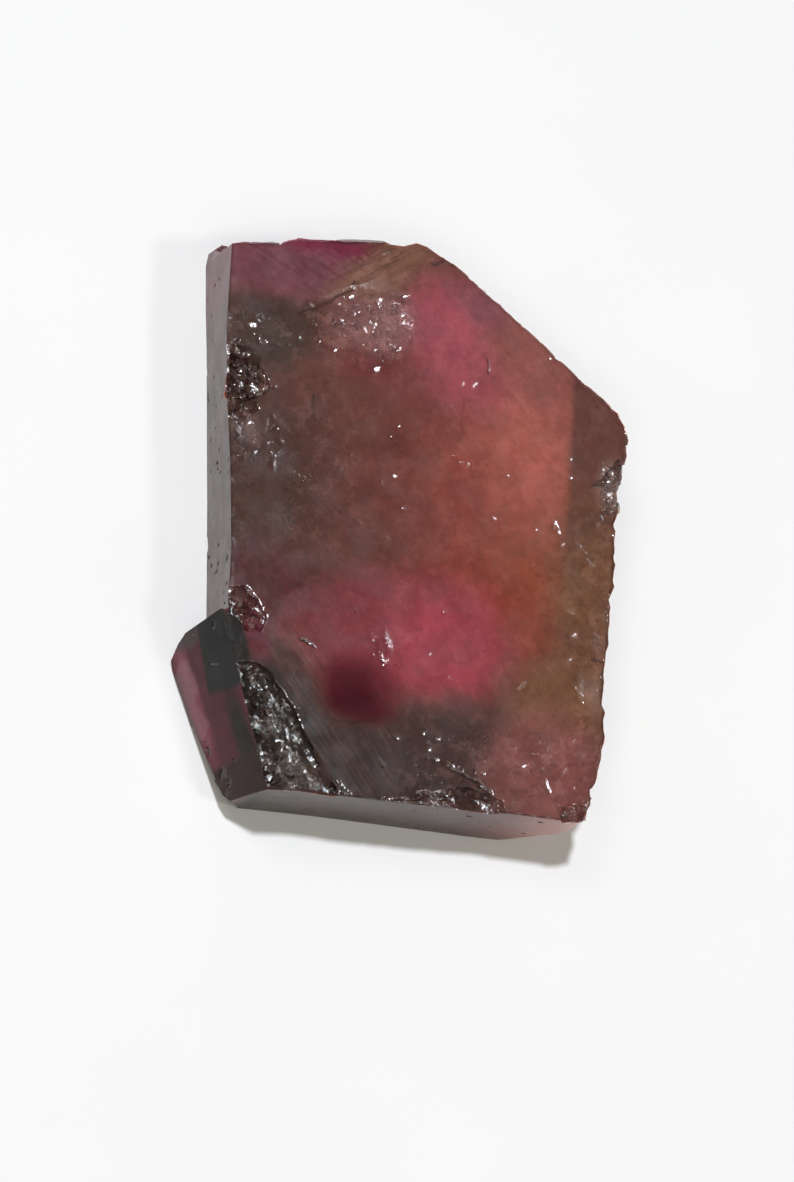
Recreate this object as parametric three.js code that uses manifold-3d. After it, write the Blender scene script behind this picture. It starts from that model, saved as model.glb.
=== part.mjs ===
// Rough tourmaline: one sawn slab of a colour-zoned crystal, lying on its sawn underside.
// Millimetres, +Z up, origin at the centre of the footprint box, on the resting plane.
// The left and front walls are saw cuts, the right and slanting walls are the crystal's own fluted prism faces,
// the back wall is a break, and a wedge-shaped spur with one flat slanting face stands out at the front left.
import * as THREE from "three";
import { ConvexGeometry } from "three/addons/geometries/ConvexGeometry.js";
import { mergeVertices } from "three/addons/utils/BufferGeometryUtils.js";
import Module from "manifold-3d";

const wasm = await Module();
wasm.setup();

// ---- driving dimensions ------------------------------------------------------------------------------------
const THICKNESS = 5.0; // between the two sawn faces
const WALL_LEVELS = [0, 0.17, 0.38, 0.6, 0.82]; // heights of the wall's rings, as shares of the bevel's foot
const SAWN_ARRIS = 0.03; // bevel of the edge between two saw cuts
const WORN_ARRIS = 0.1; // bevel of the edge on the natural and broken sides
const FLUTE_SPACING = 0.32; // between the flutes that run up the prism faces
const FLUTE_DEPTH = 0.07;
const PRISM_RELIEF = 0.05; // how far the prism faces wander in and out from level to level
const BREAK_RELIEF = 0.16; // how far the broken wall wanders in and out from level to level
const SEED = 7;

// Each side's top edge and foot, walked with the stone on the left hand. The sides join end to end.
const SIDES = [
  {
    name: "left saw cut",
    arris: SAWN_ARRIS,
    top: [[-7.82, 11.55], [-7.93, 9.41], [-8.02, 7.83], [-7.98, 5.38], [-7.78, 0.96], [-7.72, -2.1], [-7.84, -4.42]],
    foot: [[-7.92, 12.2], [-7.94, 11.09], [-7.82, 7.6], [-7.8, 5.14], [-7.73, 0.62], [-7.72, -4.4]],
  },
  {
    name: "side that carries the spur",
    arris: SAWN_ARRIS,
    top: [[-7.84, -4.42], [-7.9, -5.3], [-7.2, -8.14], [-6.55, -10.46]],
    foot: [[-7.72, -4.4], [-7.1, -8.1], [-6.5, -10.4]],
  },
  {
    name: "front saw cut",
    arris: SAWN_ARRIS,
    top: [
      [-6.06, -12.31], [-4.7, -12.29], [-2.55, -12.45], [-0.4, -12.58], [2.19, -12.7],
      [3.93, -12.76], [5.68, -12.9], [7.21, -13.03],
    ],
    foot: [[-6.3, -12.06], [-3.54, -12.19], [0.87, -12.52], [4.42, -12.8], [7.2, -12.9]],
  },
  {
    name: "right prism face",
    arris: WORN_ARRIS,
    relief: PRISM_RELIEF,
    flutes: FLUTE_DEPTH,
    top: [
      [7.68, -12.88], [7.95, -12.2], [7.97, -11.56], [8.3, -10.89], [8.5, -9.79], [8.6, -8.48], [8.52, -7.17],
      [8.68, -5.84], [8.87, -4.1], [8.88, -3.17], [9.12, -2.27], [9.18, -0.93], [9.14, 0.19], [9.38, 0.79],
      [9.3, 1.31], [9.45, 2.0], [9.63, 2.69], [9.79, 4.06],
    ],
    foot: [[7.7, -12.7], [8.1, -11.2], [8.45, -7.2], [8.8, -3.2], [9.0, 0.2], [9.4, 2.6], [9.6, 4.0]],
  },
  {
    name: "slanting prism face",
    arris: WORN_ARRIS,
    relief: PRISM_RELIEF,
    flutes: FLUTE_DEPTH * 0.6,
    top: [[9.66, 4.73], [9.43, 5.19], [8.78, 5.82], [7.66, 6.7], [5.88, 8.24], [4.09, 9.78], [2.75, 10.95], [1.84, 11.6]],
    foot: [[9.45, 4.7], [8.7, 5.6], [5.7, 8.2], [3.9, 9.8], [1.9, 11.5]],
  },
  {
    name: "broken back",
    arris: WORN_ARRIS,
    relief: BREAK_RELIEF,
    top: [
      [1.4, 11.79], [0.86, 12.19], [0.4, 12.34], [-0.18, 12.15], [-1.07, 12.17], [-1.96, 12.14], [-2.84, 12.06],
      [-3.29, 12.11], [-4.39, 12.06], [-4.83, 12.09], [-5.27, 11.98], [-5.71, 11.76], [-6.5, 11.74], [-7.3, 11.7],
    ],
    foot: [[1.3, 11.9], [-0.5, 12.4], [-2.6, 12.8], [-5.2, 13.0], [-6.9, 13.22], [-7.45, 13.1], [-7.8, 12.7]],
  },
];

// The spur's slanting face: it leaves the top along a straight edge and falls away outwards at a steady slope.
const SPUR_EDGE = { back: [-8.14, -4.66], front: [-6.06, -12.31] };
const SPUR_SLOPE = 74; // degrees below the sawn top
const SPUR_FACE = [
  [-8.61, -4.96], [-8.99, -4.98], [-9.15, -5.29], [-9.27, -5.8], [-9.19, -6.2], [-9.05, -6.66],
  [-8.75, -7.53], [-8.18, -9.21], [-7.5, -11.04], [-7.24, -11.85], [-7.01, -12.19],
];
const SPUR_FOOT = [
  [-8.1, -4.5], [-8.85, -5.05], [-9.22, -5.9], [-9.0, -6.65], [-8.2, -8.9], [-7.3, -10.9], [-6.8, -11.6], [-6.5, -11.85],
];
const SPUR_ROOT = [[-6.1, -12.05, 0], [-7.0, -4.6, 0], [-7.0, -4.6, THICKNESS]]; // corners buried in the slab

// Flat-sided pieces cut out of the top: corners of the rim, then the corners of the sloping floor with their depths.
const LEDGES = [
  {
    name: "fan-shaped break near the back",
    rim: [
      [-4.95, 8.6], [-4.29, 9.18], [-3.45, 9.7], [-2.66, 10.2], [-1.2, 10.6],
      [0.3, 9.6], [0.3, 7.6], [-1.2, 6.6], [-3.4, 6.9],
    ],
    floor: [[-4.5, 8.7, 0.16], [-3.3, 9.5, 0.26], [-2.3, 10.1, 0.3], [-1.0, 9.6, 0.16], [-1.0, 8.0, 0.06]],
  },
  {
    name: "slope behind the fan",
    rim: [[-2.5, 10.7], [-0.8, 11.0], [1.3, 11.3], [2.6, 12.6], [-0.5, 13.0], [-2.2, 12.6]],
    floor: [[-1.6, 11.6, 0.1], [0.2, 12.5, 0.42], [1.5, 12.1, 0.4]],
  },
  {
    name: "broken strip beside the spur",
    rim: [[-6.6, -6.9], [-6.0, -7.5], [-4.7, -9.45], [-2.9, -12.2], [-3.0, -13.2], [-6.6, -13.2], [-7.9, -8.3]],
    floor: [[-6.2, -7.7, 0.2], [-4.9, -9.6, 0.26], [-3.2, -12.1, 0.28], [-3.3, -12.6, 0.2], [-6.15, -12.5, 0.1]],
  },
  {
    name: "notch in the front edge",
    rim: [[2.1, -11.65], [2.8, -11.95], [3.4, -11.9], [4.1, -12.5], [4.2, -13.3], [1.9, -13.3], [1.7, -12.3]],
    floor: [[2.4, -11.9, 0.3], [2.9, -12.15, 0.5], [3.6, -12.35, 0.4], [3.8, -13.0, 0.34], [2.1, -13.0, 0.12]],
  },
];

// Patches of angular scars in the top: centre, half extents and heading of the patch, then what it holds.
const SCAR_PATCHES = [
  { name: "cavity at the left edge", at: [-7.25, 5.9], half: [0.95, 0.65], turn: 70, count: 12, size: 0.42, depth: 0.5 },
  { name: "curl below the cavity", at: [-7.3, 4.25], half: [0.6, 0.45], turn: 20, count: 6, size: 0.38, depth: 0.34 },
  { name: "pale patch", at: [-6.4, 2.85], half: [0.8, 0.7], turn: 0, count: 8, size: 0.4, depth: 0.15 },
  { name: "dull area inside it", at: [-4.9, 2.6], half: [1.2, 1.8], turn: 0, count: 12, size: 0.34, depth: 0.07 },
  { name: "specks near the back", at: [-6.6, 7.8], half: [0.9, 0.6], turn: 0, count: 5, size: 0.22, depth: 0.1 },
  { name: "fan", at: [-2.0, 8.8], half: [2.0, 1.1], turn: 15, count: 26, size: 0.42, depth: 0.26 },
  { name: "pit where the spur begins", at: [-7.2, -4.35], half: [0.4, 0.4], turn: 0, count: 6, size: 0.32, depth: 0.36 },
  { name: "chip beside the pit", at: [-6.85, -5.15], half: [0.3, 0.25], turn: 0, count: 3, size: 0.24, depth: 0.25 },
  { name: "strip beside the spur", at: [-6.05, -10.0], half: [2.2, 0.55], turn: -84, count: 26, size: 0.4, depth: 0.42 },
  { name: "foot of the strip", at: [-4.9, -11.6], half: [0.9, 0.45], turn: -8, count: 9, size: 0.36, depth: 0.4 },
  { name: "front notch", at: [2.9, -12.2], half: [0.8, 0.25], turn: -18, count: 6, size: 0.3, depth: 0.4 },
  { name: "front edge", at: [0.9, -12.35], half: [0.9, 0.15], turn: -3, count: 6, size: 0.2, depth: 0.2 },
  { name: "front right corner", at: [7.2, -12.65], half: [0.5, 0.3], turn: 10, count: 6, size: 0.3, depth: 0.42 },
  { name: "right edge chips", at: [9.15, 2.2], half: [0.4, 0.45], turn: 0, count: 6, size: 0.32, depth: 0.5 },
  { name: "right edge nick", at: [8.95, 1.05], half: [0.25, 0.25], turn: 0, count: 3, size: 0.26, depth: 0.36 },
  { name: "right rim", at: [7.9, -3.4], half: [4.6, 0.65], turn: 84, count: 15, size: 0.75, depth: 0.11 },
  { name: "lumpy front right", at: [6.2, -10.6], half: [1.6, 1.5], turn: 0, count: 14, size: 0.5, depth: 0.1 },
  { name: "scratched spot", at: [-1.25, -6.45], half: [0.55, 0.22], turn: -48, count: 6, size: 0.2, depth: 0.1 },
  { name: "single pit", at: [4.93, -7.21], half: [0.1, 0.1], turn: 0, count: 2, size: 0.26, depth: 0.14 },
  { name: "right hand pit", at: [6.4, -0.1], half: [0.15, 0.15], turn: 0, count: 2, size: 0.24, depth: 0.1 },
  { name: "middle pits", at: [2.6, 3.3], half: [1.0, 1.5], turn: 0, count: 5, size: 0.2, depth: 0.07 },
];

// Shallow dishes in the top: [x, y, radius across, radius along, depth].
const DISHES = [[-2.2, -7.8, 1.35, 1.05, 0.07], [-3.3, 0.6, 1.5, 0.7, 0.05], [4.4, 4.6, 1.9, 1.2, 0.05]];

// Chips broken out of the top edge: [x, y, radius across, radius along, height of the lowest point].
const EDGE_CHIPS = [
  [9.85, 1.8, 0.6, 0.4, 3.9], [9.6, -0.5, 0.34, 0.7, 4.3], [9.35, -3.2, 0.5, 0.6, 4.1],
  [9.05, -7.0, 0.5, 0.8, 4.2], [8.5, -11.4, 0.5, 0.4, 3.8], [5.2, -13.25, 0.8, 0.4, 4.6],
  [1.7, 12.05, 0.4, 0.3, 4.6], [-0.4, 12.5, 0.5, 0.36, 4.3], [-6.1, 12.1, 0.7, 0.4, 4.2],
];

// Shell-like hollows in the broken back and in the prism faces: [x, y, z, and the three radii].
const HOLLOWS = [
  [-5.6, 13.6, 2.7, 1.9, 1.0, 1.9], [-2.0, 13.2, 3.6, 1.6, 0.7, 1.3], [0.2, 12.9, 1.6, 1.5, 0.7, 1.4],
  [-3.5, 13.5, 0.6, 1.3, 0.75, 1.0], [9.75, -1.2, 2.0, 0.8, 1.5, 1.2], [9.35, -7.6, 3.2, 0.8, 1.2, 0.9],
  [6.9, 8.4, 2.8, 1.7, 1.4, 1.7],
];

// Chips broken out of the resting edge: [x, y, radius across, radius along, height of the highest point].
const FOOT_CHIPS = [
  [-8.0, 7.3, 0.25, 0.5, 0.6], [-7.9, -0.5, 0.3, 0.6, 0.7], [5.3, 8.9, 1.2, 0.5, 1.2],
  [9.4, -3.4, 0.6, 1.3, 1.0], [9.9, 4.6, 0.9, 0.9, 1.8],
];

// The corner broken away under the front right: a flat-sided wedge from the foot up to just under the top.
const UNDERCUT_CORNERS = [
  [5.0, -12.6, -0.5], [5.0, -14, -0.5], [12, -14, -0.5], [12, -6.5, -0.5], [9.6, -9.2, -0.5],
  [5.1, -14, 0.6], [7.9, -14, 4.3], [9.3, -12.2, 4.1], [12, -10, 3.4], [12, -6.5, 0.4],
];

// ---- making solids -----------------------------------------------------------------------------------------
// A small repeatable random source, so that every build gives the same stone.
function randomSource(seed) {
  let state = seed >>> 0;
  return () => {
    state = (state + 0x6d2b79f5) >>> 0;
    let t = Math.imul(state ^ (state >>> 15), 1 | state);
    t = (t + Math.imul(t ^ (t >>> 7), 61 | t)) ^ t;
    return ((t ^ (t >>> 14)) >>> 0) / 4294967296;
  };
}

const random = randomSource(SEED);
const either = () => random() * 2 - 1;

function solidOf(geometry) {
  const bare = new THREE.BufferGeometry().setAttribute("position", geometry.getAttribute("position"));
  if (geometry.index) bare.setIndex(geometry.index);
  const merged = mergeVertices(bare, 1e-4);
  return new wasm.Manifold(
    new wasm.Mesh({
      numProp: 3,
      vertProperties: new Float32Array(merged.attributes.position.array),
      triVerts: new Uint32Array(merged.index.array),
    }),
  );
}

function geometryOf(solid) {
  const mesh = solid.getMesh();
  const positions = new Float32Array(mesh.numVert * 3);
  for (let i = 0; i < mesh.numVert; i++)
    positions.set(mesh.vertProperties.subarray(i * mesh.numProp, i * mesh.numProp + 3), i * 3);
  const geometry = new THREE.BufferGeometry()
    .setAttribute("position", new THREE.BufferAttribute(positions, 3))
    .setIndex(new THREE.BufferAttribute(new Uint32Array(mesh.triVerts), 1));
  geometry.computeVertexNormals();
  return geometry;
}

const convex = (corners) => solidOf(new ConvexGeometry(corners.map((c) => new THREE.Vector3(...c))));
const distance = (a, b) => Math.hypot(b[0] - a[0], b[1] - a[1]);
const between = (a, b, t) => [a[0] + t * (b[0] - a[0]), a[1] + t * (b[1] - a[1])];

// The same line with every stretch cut into steps no longer than the spacing.
function refined(line, spacing) {
  return line.flatMap((point, i) => {
    if (i === line.length - 1) return [point];
    const steps = Math.max(1, Math.round(distance(point, line[i + 1]) / spacing));
    return Array.from({ length: steps }, (_, k) => between(point, line[i + 1], k / steps));
  });
}

// How far along its line each point lies, from 0 to 1.
function sharesOf(line) {
  const run = [0];
  for (let i = 1; i < line.length; i++) run.push(run[i - 1] + distance(line[i - 1], line[i]));
  return run.map((length) => length / run[run.length - 1]);
}

// The point of a line at each given share of its length.
function pointsAlong(line, shares) {
  const own = sharesOf(line);
  return shares.map((share) => {
    const i = Math.max(1, own.findIndex((s) => s >= share - 1e-9));
    return between(line[i - 1], line[i], (share - own[i - 1]) / (own[i] - own[i - 1]));
  });
}

// The slab: a ring of points at each level from the foot to the top edge, closed by a cap at each end.
function slab() {
  const rim = SIDES.flatMap(({ top, foot, arris, relief = 0, flutes = 0 }) => {
    const line = flutes ? refined(top, FLUTE_SPACING) : top;
    const feet = pointsAlong(foot, sharesOf(line));
    return line.map((point, i) => ({ top: point, foot: feet[i], arris, relief, flute: flutes * either() }));
  });
  const count = rim.length;
  const outward = rim.map((_, i) => {
    const before = rim[(i + count - 1) % count].top;
    const after = rim[(i + 1) % count].top;
    const length = distance(before, after);
    return [(after[1] - before[1]) / length, -(after[0] - before[0]) / length];
  });
  const ring = (share, z, offset) =>
    rim.map((point, i) => {
      const [x, y] = between(point.foot, point.top, share);
      const out = offset(point);
      return new THREE.Vector3(x + out * outward[i][0], y + out * outward[i][1], z(point));
    });
  const rings = WALL_LEVELS.map((share) =>
    ring(share, (p) => share * (THICKNESS - p.arris), (p) => p.flute + p.relief * either()),
  );
  rings.push(ring(1, (p) => THICKNESS - p.arris, (p) => p.flute));
  rings.push(ring(1, () => THICKNESS, (p) => p.flute * 0.5 - p.arris));
  const faces = [];
  for (let level = 0; level < rings.length - 1; level++)
    for (let i = 0; i < count; i++) {
      const a = level * count + i;
      const b = level * count + ((i + 1) % count);
      faces.push(a, b, b + count, a, b + count, a + count);
    }
  const cap = (points) => THREE.ShapeUtils.triangulateShape(points.map((p) => new THREE.Vector2(p.x, p.y)), []);
  const last = (rings.length - 1) * count;
  for (const [a, b, c] of cap(rings[0])) faces.push(c, b, a);
  for (const [a, b, c] of cap(rings[rings.length - 1])) faces.push(last + a, last + b, last + c);
  const positions = rings.flat().flatMap((p) => p.toArray());
  const geometry = new THREE.BufferGeometry()
    .setAttribute("position", new THREE.BufferAttribute(new Float32Array(positions), 3))
    .setIndex(faces);
  return solidOf(geometry);
}

function spur() {
  const { back, front } = SPUR_EDGE;
  const length = distance(back, front);
  const outward = [(front[1] - back[1]) / length, -(front[0] - back[0]) / length];
  const fall = Math.tan(THREE.MathUtils.degToRad(SPUR_SLOPE));
  const onFace = ([x, y]) => {
    const out = (x - front[0]) * outward[0] + (y - front[1]) * outward[1];
    return [x, y, THICKNESS - fall * out];
  };
  return convex([
    ...[back, front, ...SPUR_FACE].map(onFace),
    ...SPUR_FOOT.map(([x, y]) => [x, y, 0]),
    ...SPUR_ROOT,
  ]);
}

// A flat-faceted pebble: the hull of points spread over an ellipsoid, each pushed in or out a little.
function pebble(centre, radii, points = 30) {
  const golden = Math.PI * (3 - Math.sqrt(5));
  const spin = random() * Math.PI * 2;
  const corners = Array.from({ length: points }, (_, i) => {
    const z = 1 - (2 * (i + 0.5)) / points;
    const across = Math.sqrt(1 - z * z);
    const turn = i * golden + spin + 0.5 * either();
    const reach = 0.8 + 0.2 * random();
    const unit = [Math.cos(turn) * across, Math.sin(turn) * across, z];
    return unit.map((value, axis) => centre[axis] + value * radii[axis] * reach);
  });
  return convex(corners);
}

// A ledge cut: its rim stands clear above the sawn plane and its floor slopes below it.
function ledge({ rim, floor }) {
  return convex([
    ...rim.map(([x, y]) => [x, y, THICKNESS + 0.002]),
    ...rim.map(([x, y]) => [x, y, THICKNESS + 0.4]),
    ...floor.map(([x, y, depth]) => [x, y, THICKNESS - depth]),
  ]);
}

// One angular scar: an uneven many-cornered mouth, stretched one way, over a floor of a few lopsided points.
function scar(x, y, size, depth) {
  const corners = 5 + Math.floor(random() * 3);
  const heading = random() * Math.PI;
  const stretch = 1 + random() * 0.9;
  const place = (turn, reach, z) => {
    const along = Math.cos(turn) * reach * stretch;
    const across = (Math.sin(turn) * reach) / stretch;
    return [
      x + along * Math.cos(heading) - across * Math.sin(heading),
      y + along * Math.sin(heading) + across * Math.cos(heading),
      z,
    ];
  };
  const mouth = Array.from({ length: corners }, (_, i) => ({
    turn: ((i + 0.35 * either()) / corners) * Math.PI * 2,
    reach: size * (0.7 + 0.5 * random()),
  }));
  const floor = Array.from({ length: 3 }, () => ({
    turn: random() * Math.PI * 2,
    reach: size * 0.6 * random(),
    down: depth * (0.45 + 0.55 * random()),
  }));
  return convex([
    ...mouth.map(({ turn, reach }) => place(turn, reach, THICKNESS + 0.002)),
    ...mouth.map(({ turn, reach }) => place(turn, reach * 1.15, THICKNESS + 0.3)),
    ...floor.map(({ turn, reach, down }) => place(turn, reach, THICKNESS - down)),
  ]);
}

function scarPatch({ at, half, turn, count, size, depth }) {
  const heading = THREE.MathUtils.degToRad(turn);
  return Array.from({ length: count }, () => {
    const around = random() * Math.PI * 2;
    const reach = Math.sqrt(random());
    const along = Math.cos(around) * reach * half[0];
    const across = Math.sin(around) * reach * half[1];
    return scar(
      at[0] + along * Math.cos(heading) - across * Math.sin(heading),
      at[1] + along * Math.sin(heading) + across * Math.cos(heading),
      size * (0.6 + 0.7 * random()),
      depth * (0.5 + 0.6 * random()),
    );
  });
}

function stone() {
  const cuts = [
    ...LEDGES.map(ledge),
    ...SCAR_PATCHES.flatMap(scarPatch),
    ...DISHES.map(([x, y, across, along, depth]) => pebble([x, y, THICKNESS + 0.4], [across, along, 0.4 + depth], 60)),
    ...EDGE_CHIPS.map(([x, y, across, along, low]) =>
      pebble([x, y, THICKNESS + 0.1], [across, along, THICKNESS + 0.1 - low]),
    ),
    ...HOLLOWS.map(([x, y, z, ...radii]) => pebble([x, y, z], radii, 44)),
    ...FOOT_CHIPS.map(([x, y, across, along, high]) => pebble([x, y, -0.1], [across, along, high + 0.1])),
    convex(UNDERCUT_CORNERS),
  ];
  return cuts.reduce((solid, cut) => solid.subtract(cut), slab().add(spur()));
}

// The origin goes to the centre of the footprint box, on the resting plane.
const shape = geometryOf(stone());
shape.computeBoundingBox();
const middle = shape.boundingBox.getCenter(new THREE.Vector3());
shape.translate(-middle.x, -middle.y, -shape.boundingBox.min.z);

const crystal = new THREE.Mesh(
  shape,
  new THREE.MeshStandardMaterial({ color: new THREE.Color(0.27, 0.09, 0.08), roughness: 0.32, metalness: 0 }),
);
crystal.name = "tourmaline_slab";

const roughTourmaline = new THREE.Group();
roughTourmaline.add(crystal);
export default roughTourmaline;
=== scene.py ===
"""The rough tourmaline's looks: a sawn, colour-zoned slab with a wedge spur, on a plain pale floor.

The stone's plan is laid out in drawing millimetres: x runs from the left saw cut to the right prism face, y
from the front saw cut to the broken back, and z up from the resting plane. The frame has its origin at the
middle of the footprint box, so a drawing place is a frame place plus DRAWING_MIDDLE.
"""
import sys
import itertools
import logging
import math
from collections.abc import Iterable
from dataclasses import dataclass
from enum import Enum, IntEnum

import bpy
import numpy as np
from mathutils import Matrix, Vector
from mathutils.kdtree import KDTree


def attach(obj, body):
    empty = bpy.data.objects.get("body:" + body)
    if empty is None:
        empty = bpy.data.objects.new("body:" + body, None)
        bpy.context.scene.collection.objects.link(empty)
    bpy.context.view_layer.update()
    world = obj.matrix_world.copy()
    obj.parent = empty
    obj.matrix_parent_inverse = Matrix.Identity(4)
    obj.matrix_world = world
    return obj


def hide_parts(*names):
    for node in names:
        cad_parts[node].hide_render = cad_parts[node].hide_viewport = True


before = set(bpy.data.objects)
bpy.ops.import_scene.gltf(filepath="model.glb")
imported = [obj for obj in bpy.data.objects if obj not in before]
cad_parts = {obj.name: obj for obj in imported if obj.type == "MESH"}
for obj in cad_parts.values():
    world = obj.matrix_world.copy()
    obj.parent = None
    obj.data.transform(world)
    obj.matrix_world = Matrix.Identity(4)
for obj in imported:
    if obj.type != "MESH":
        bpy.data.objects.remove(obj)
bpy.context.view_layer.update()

NODE = "tourmaline_slab"
MM = 0.001
DRAWING_MIDDLE = (0.286, 0.127, 0.0)
THICKNESS = 5.0
ANY_HEIGHT = 1e6  # a zone's half height, so that it runs right through the stone
FLECK_LEAN = (-0.15, -0.055, 0.0)  # the way the flecks' faces lean
CLEAVAGE_HEADING = 35.0  # degrees from +x: the way the tiny cleavage faces run
CLEAVAGE_SIZE = (0.2, 0.075, 0.1)  # their size in millimetres
SAW_HEADING = -57.0  # degrees from +x: the way the saw marks run
GROOVED_MIDDLE = (-3.3, -9.2, 0.0)  # where the saw marks are deepest
PIT_FLOOR = 3.9  # no pit of the top reaches lower
LEFT_CUT = -7.0  # the left saw cut lies to the left of this
FRONT_CUT = -11.8  # the front saw cut lies in front of this
SPUR_BACK = -4.6  # the spur begins in front of this
BACK_BREAK = 10.6  # the broken back begins here
Points = np.ndarray
Values = np.ndarray
Plan = tuple[float, float]
Ends = tuple[float, float]
Triple = tuple[float, float, float]

log = logging.getLogger("tourmaline")


class Salt(IntEnum):
    """Where each random pattern of the skin starts, so that no two are alike."""

    GROOVES = 3
    GROOVE_GAPS = 8
    TOP_WAVES = 11
    BITES = 17
    CHIPS = 19
    GROOVED_AREA = 23
    LINE_SHADES = 28
    LINE_BREAKS = 29
    PATCHES = 31
    LINES = 41
    FLECKS = 47
    NICKS = 53
    WALL_WAVES = 57
    WALL_PITS = 61
    FINE_WALL_PITS = 62
    FLUTES = 71
    SHELLS = 81
    FINE_SHELLS = 91
    BOWLS = 100
    FINE_BOWLS = 110


# ---- noise -------------------------------------------------------------------------------------------------
def cell_random(cells: np.ndarray, salt: int) -> Values:
    """A repeatable random number for each whole-number cell.

    Args:
        cells: Whole cell numbers, shape (n, 3).
        salt: Tells one pattern from another.

    Returns:
        One number from 0 to 1 for each cell.
    """
    c = cells.astype(np.uint64)
    h = c[:, 0] * np.uint64(0x9E3779B1) ^ c[:, 1] * np.uint64(0x85EBCA77) ^ c[:, 2] * np.uint64(0xC2B2AE3D)
    h = (h ^ np.uint64(salt * 0x27D4EB2F)) & np.uint64(0xFFFFFFFF)
    for shift, factor in ((15, 0x2C1B3C6D), (12, 0x297A2D39)):
        h = ((h ^ (h >> np.uint64(shift))) * np.uint64(factor)) & np.uint64(0xFFFFFFFF)
    h = h ^ (h >> np.uint64(15))
    return h.astype(np.float64) / 2.0**32


def smooth_noise(points: Points, size: float, salt: int) -> Values:
    """Smooth noise with lumps of one size.

    Args:
        points: Places in millimetres, shape (n, 3).
        size: Lump size in millimetres.
        salt: Tells one pattern from another.

    Returns:
        One number from -1 to 1 for each place.
    """
    scaled = points / size
    base = np.floor(scaled)
    share = scaled - base
    share = share * share * (3.0 - 2.0 * share)
    base = base.astype(np.int64)
    total = np.zeros(len(points))
    for corner in itertools.product((0, 1), repeat=3):
        weight = np.prod(np.where(np.array(corner) == 1, share, 1.0 - share), axis=1)
        total += weight * cell_random(base + np.array(corner), salt)
    return total * 2.0 - 1.0


def layered_noise(points: Points, size: float, salt: int, layers: int = 3) -> Values:
    """Smooth noise summed over layers, each half the size and half the height of the one before.

    Args:
        points: Places in millimetres.
        size: The largest lumps' size in millimetres.
        salt: Tells one pattern from another.
        layers: How many layers are summed.

    Returns:
        One number from about -1 to 1 for each place.
    """
    total = sum(smooth_noise(points, size / 2**k, salt + k) / 2**k for k in range(layers))
    return total / sum(0.5**k for k in range(layers))


def shell_break(points: Points, size: float, salt: int) -> Values:
    """Shallow bowls that meet in sharp ridges, as glassy stone breaks.

    Args:
        points: Places in millimetres.
        size: Typical size of a bowl in millimetres.
        salt: Tells one pattern from another.

    Returns:
        A height from about 0 to 1 for each place.
    """
    wander = np.stack([smooth_noise(points, size * 1.3, salt + k) for k in (11, 12, 13)], axis=1)
    scaled = points / size + 0.35 * wander
    base = np.floor(scaled).astype(np.int64)
    lowest = np.full(len(points), np.inf)
    for step in itertools.product((-1, 0, 1), repeat=3):
        cell = base + np.array(step)
        seat = cell + np.stack([cell_random(cell, salt + k) for k in range(3)], axis=1)
        lean = np.stack([cell_random(cell, salt + k) for k in (3, 4, 5)], axis=1) - 0.5
        away = scaled - seat
        bowl = 0.32 * np.einsum("ij,ij->i", away, away) + 0.95 * np.einsum("ij,ij->i", lean, away)
        lowest = np.minimum(lowest, bowl + 0.3 * cell_random(cell, salt + 6))
    return np.clip(0.15 + 2.0 * lowest, -0.3, 1.5)


def smooth_step(low: float, high: float, values: Values) -> Values:
    """Goes smoothly from 0 at low to 1 at high."""
    t = np.clip((values - low) / (high - low), 0.0, 1.0)
    return t * t * (3.0 - 2.0 * t)


def wandered(points: Points, size: float, reach: float, salt: int) -> Points:
    """Places on the plan, pushed about by up to a reach with lumps of a size, in millimetres."""
    push = np.stack([layered_noise(points, size, salt + k, 2) for k in (0, 6)], axis=1)
    return points[:, :2] + reach * push


def across_and_along(points: Points, heading: float) -> tuple[Values, Values]:
    """The distances across and along a heading.

    Args:
        points: Places whose first two numbers are on the plan.
        heading: Degrees from +x.

    Returns:
        Each place's distance across the heading, and its distance along it.
    """
    turn = math.radians(heading)
    along = points[:, 0] * math.cos(turn) + points[:, 1] * math.sin(turn)
    across = points[:, 1] * math.cos(turn) - points[:, 0] * math.sin(turn)
    return across, along


# ---- the stone's flat spur face ----------------------------------------------------------------------------
@dataclass(frozen=True)
class SpurFace:
    """The flat face that slants down from the top's left edge to the spur's foot.

    Attributes:
        corner: The back end of its upper edge, on the plan.
        outward: The way it faces on the plan.
        slope: Degrees that it slants down.
        lift: How far its polish turns it up to the light.
    """

    corner: Plan = (-8.14, -4.66)
    outward: Plan = (-0.965, -0.262)
    slope: float = 74.0
    lift: float = 0.4

    def inward(self) -> Triple:
        """The direction straight into the stone from the face."""
        sine, cosine = math.sin(math.radians(self.slope)), math.cos(math.radians(self.slope))
        return (-self.outward[0] * sine, -self.outward[1] * sine, -cosine)

    def along(self) -> Triple:
        """The direction along the face's upper edge, towards the front."""
        return (-self.outward[1], self.outward[0], 0.0)

    def down(self) -> Triple:
        """The direction straight down the face."""
        sine, cosine = math.sin(math.radians(self.slope)), math.cos(math.radians(self.slope))
        return (self.outward[0] * cosine, self.outward[1] * cosine, -sine)

    def lifted(self) -> Triple:
        """What is added to the face's normal, so that it mirrors less of the floor."""
        return tuple(-self.lift * share for share in self.down())

    def start(self, direction: Triple) -> float:
        """What is added to a place's share of a direction, so that it is 0 at the face's corner."""
        return -sum(share * place for share, place in zip(direction, (*self.corner, THICKNESS)))

    def depth(self, points: Points) -> Values:
        """How far each place is behind the face, in millimetres."""
        return points @ np.array(self.inward()) + self.start(self.inward())

    def flat(self, points: Points) -> Points:
        """Each place's distance along the face's upper edge and down the face, in millimetres."""
        parts = [points @ np.array(way) + self.start(way) for way in (self.along(), self.down())]
        return np.stack([*parts, np.zeros(len(points))], axis=1)


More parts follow.
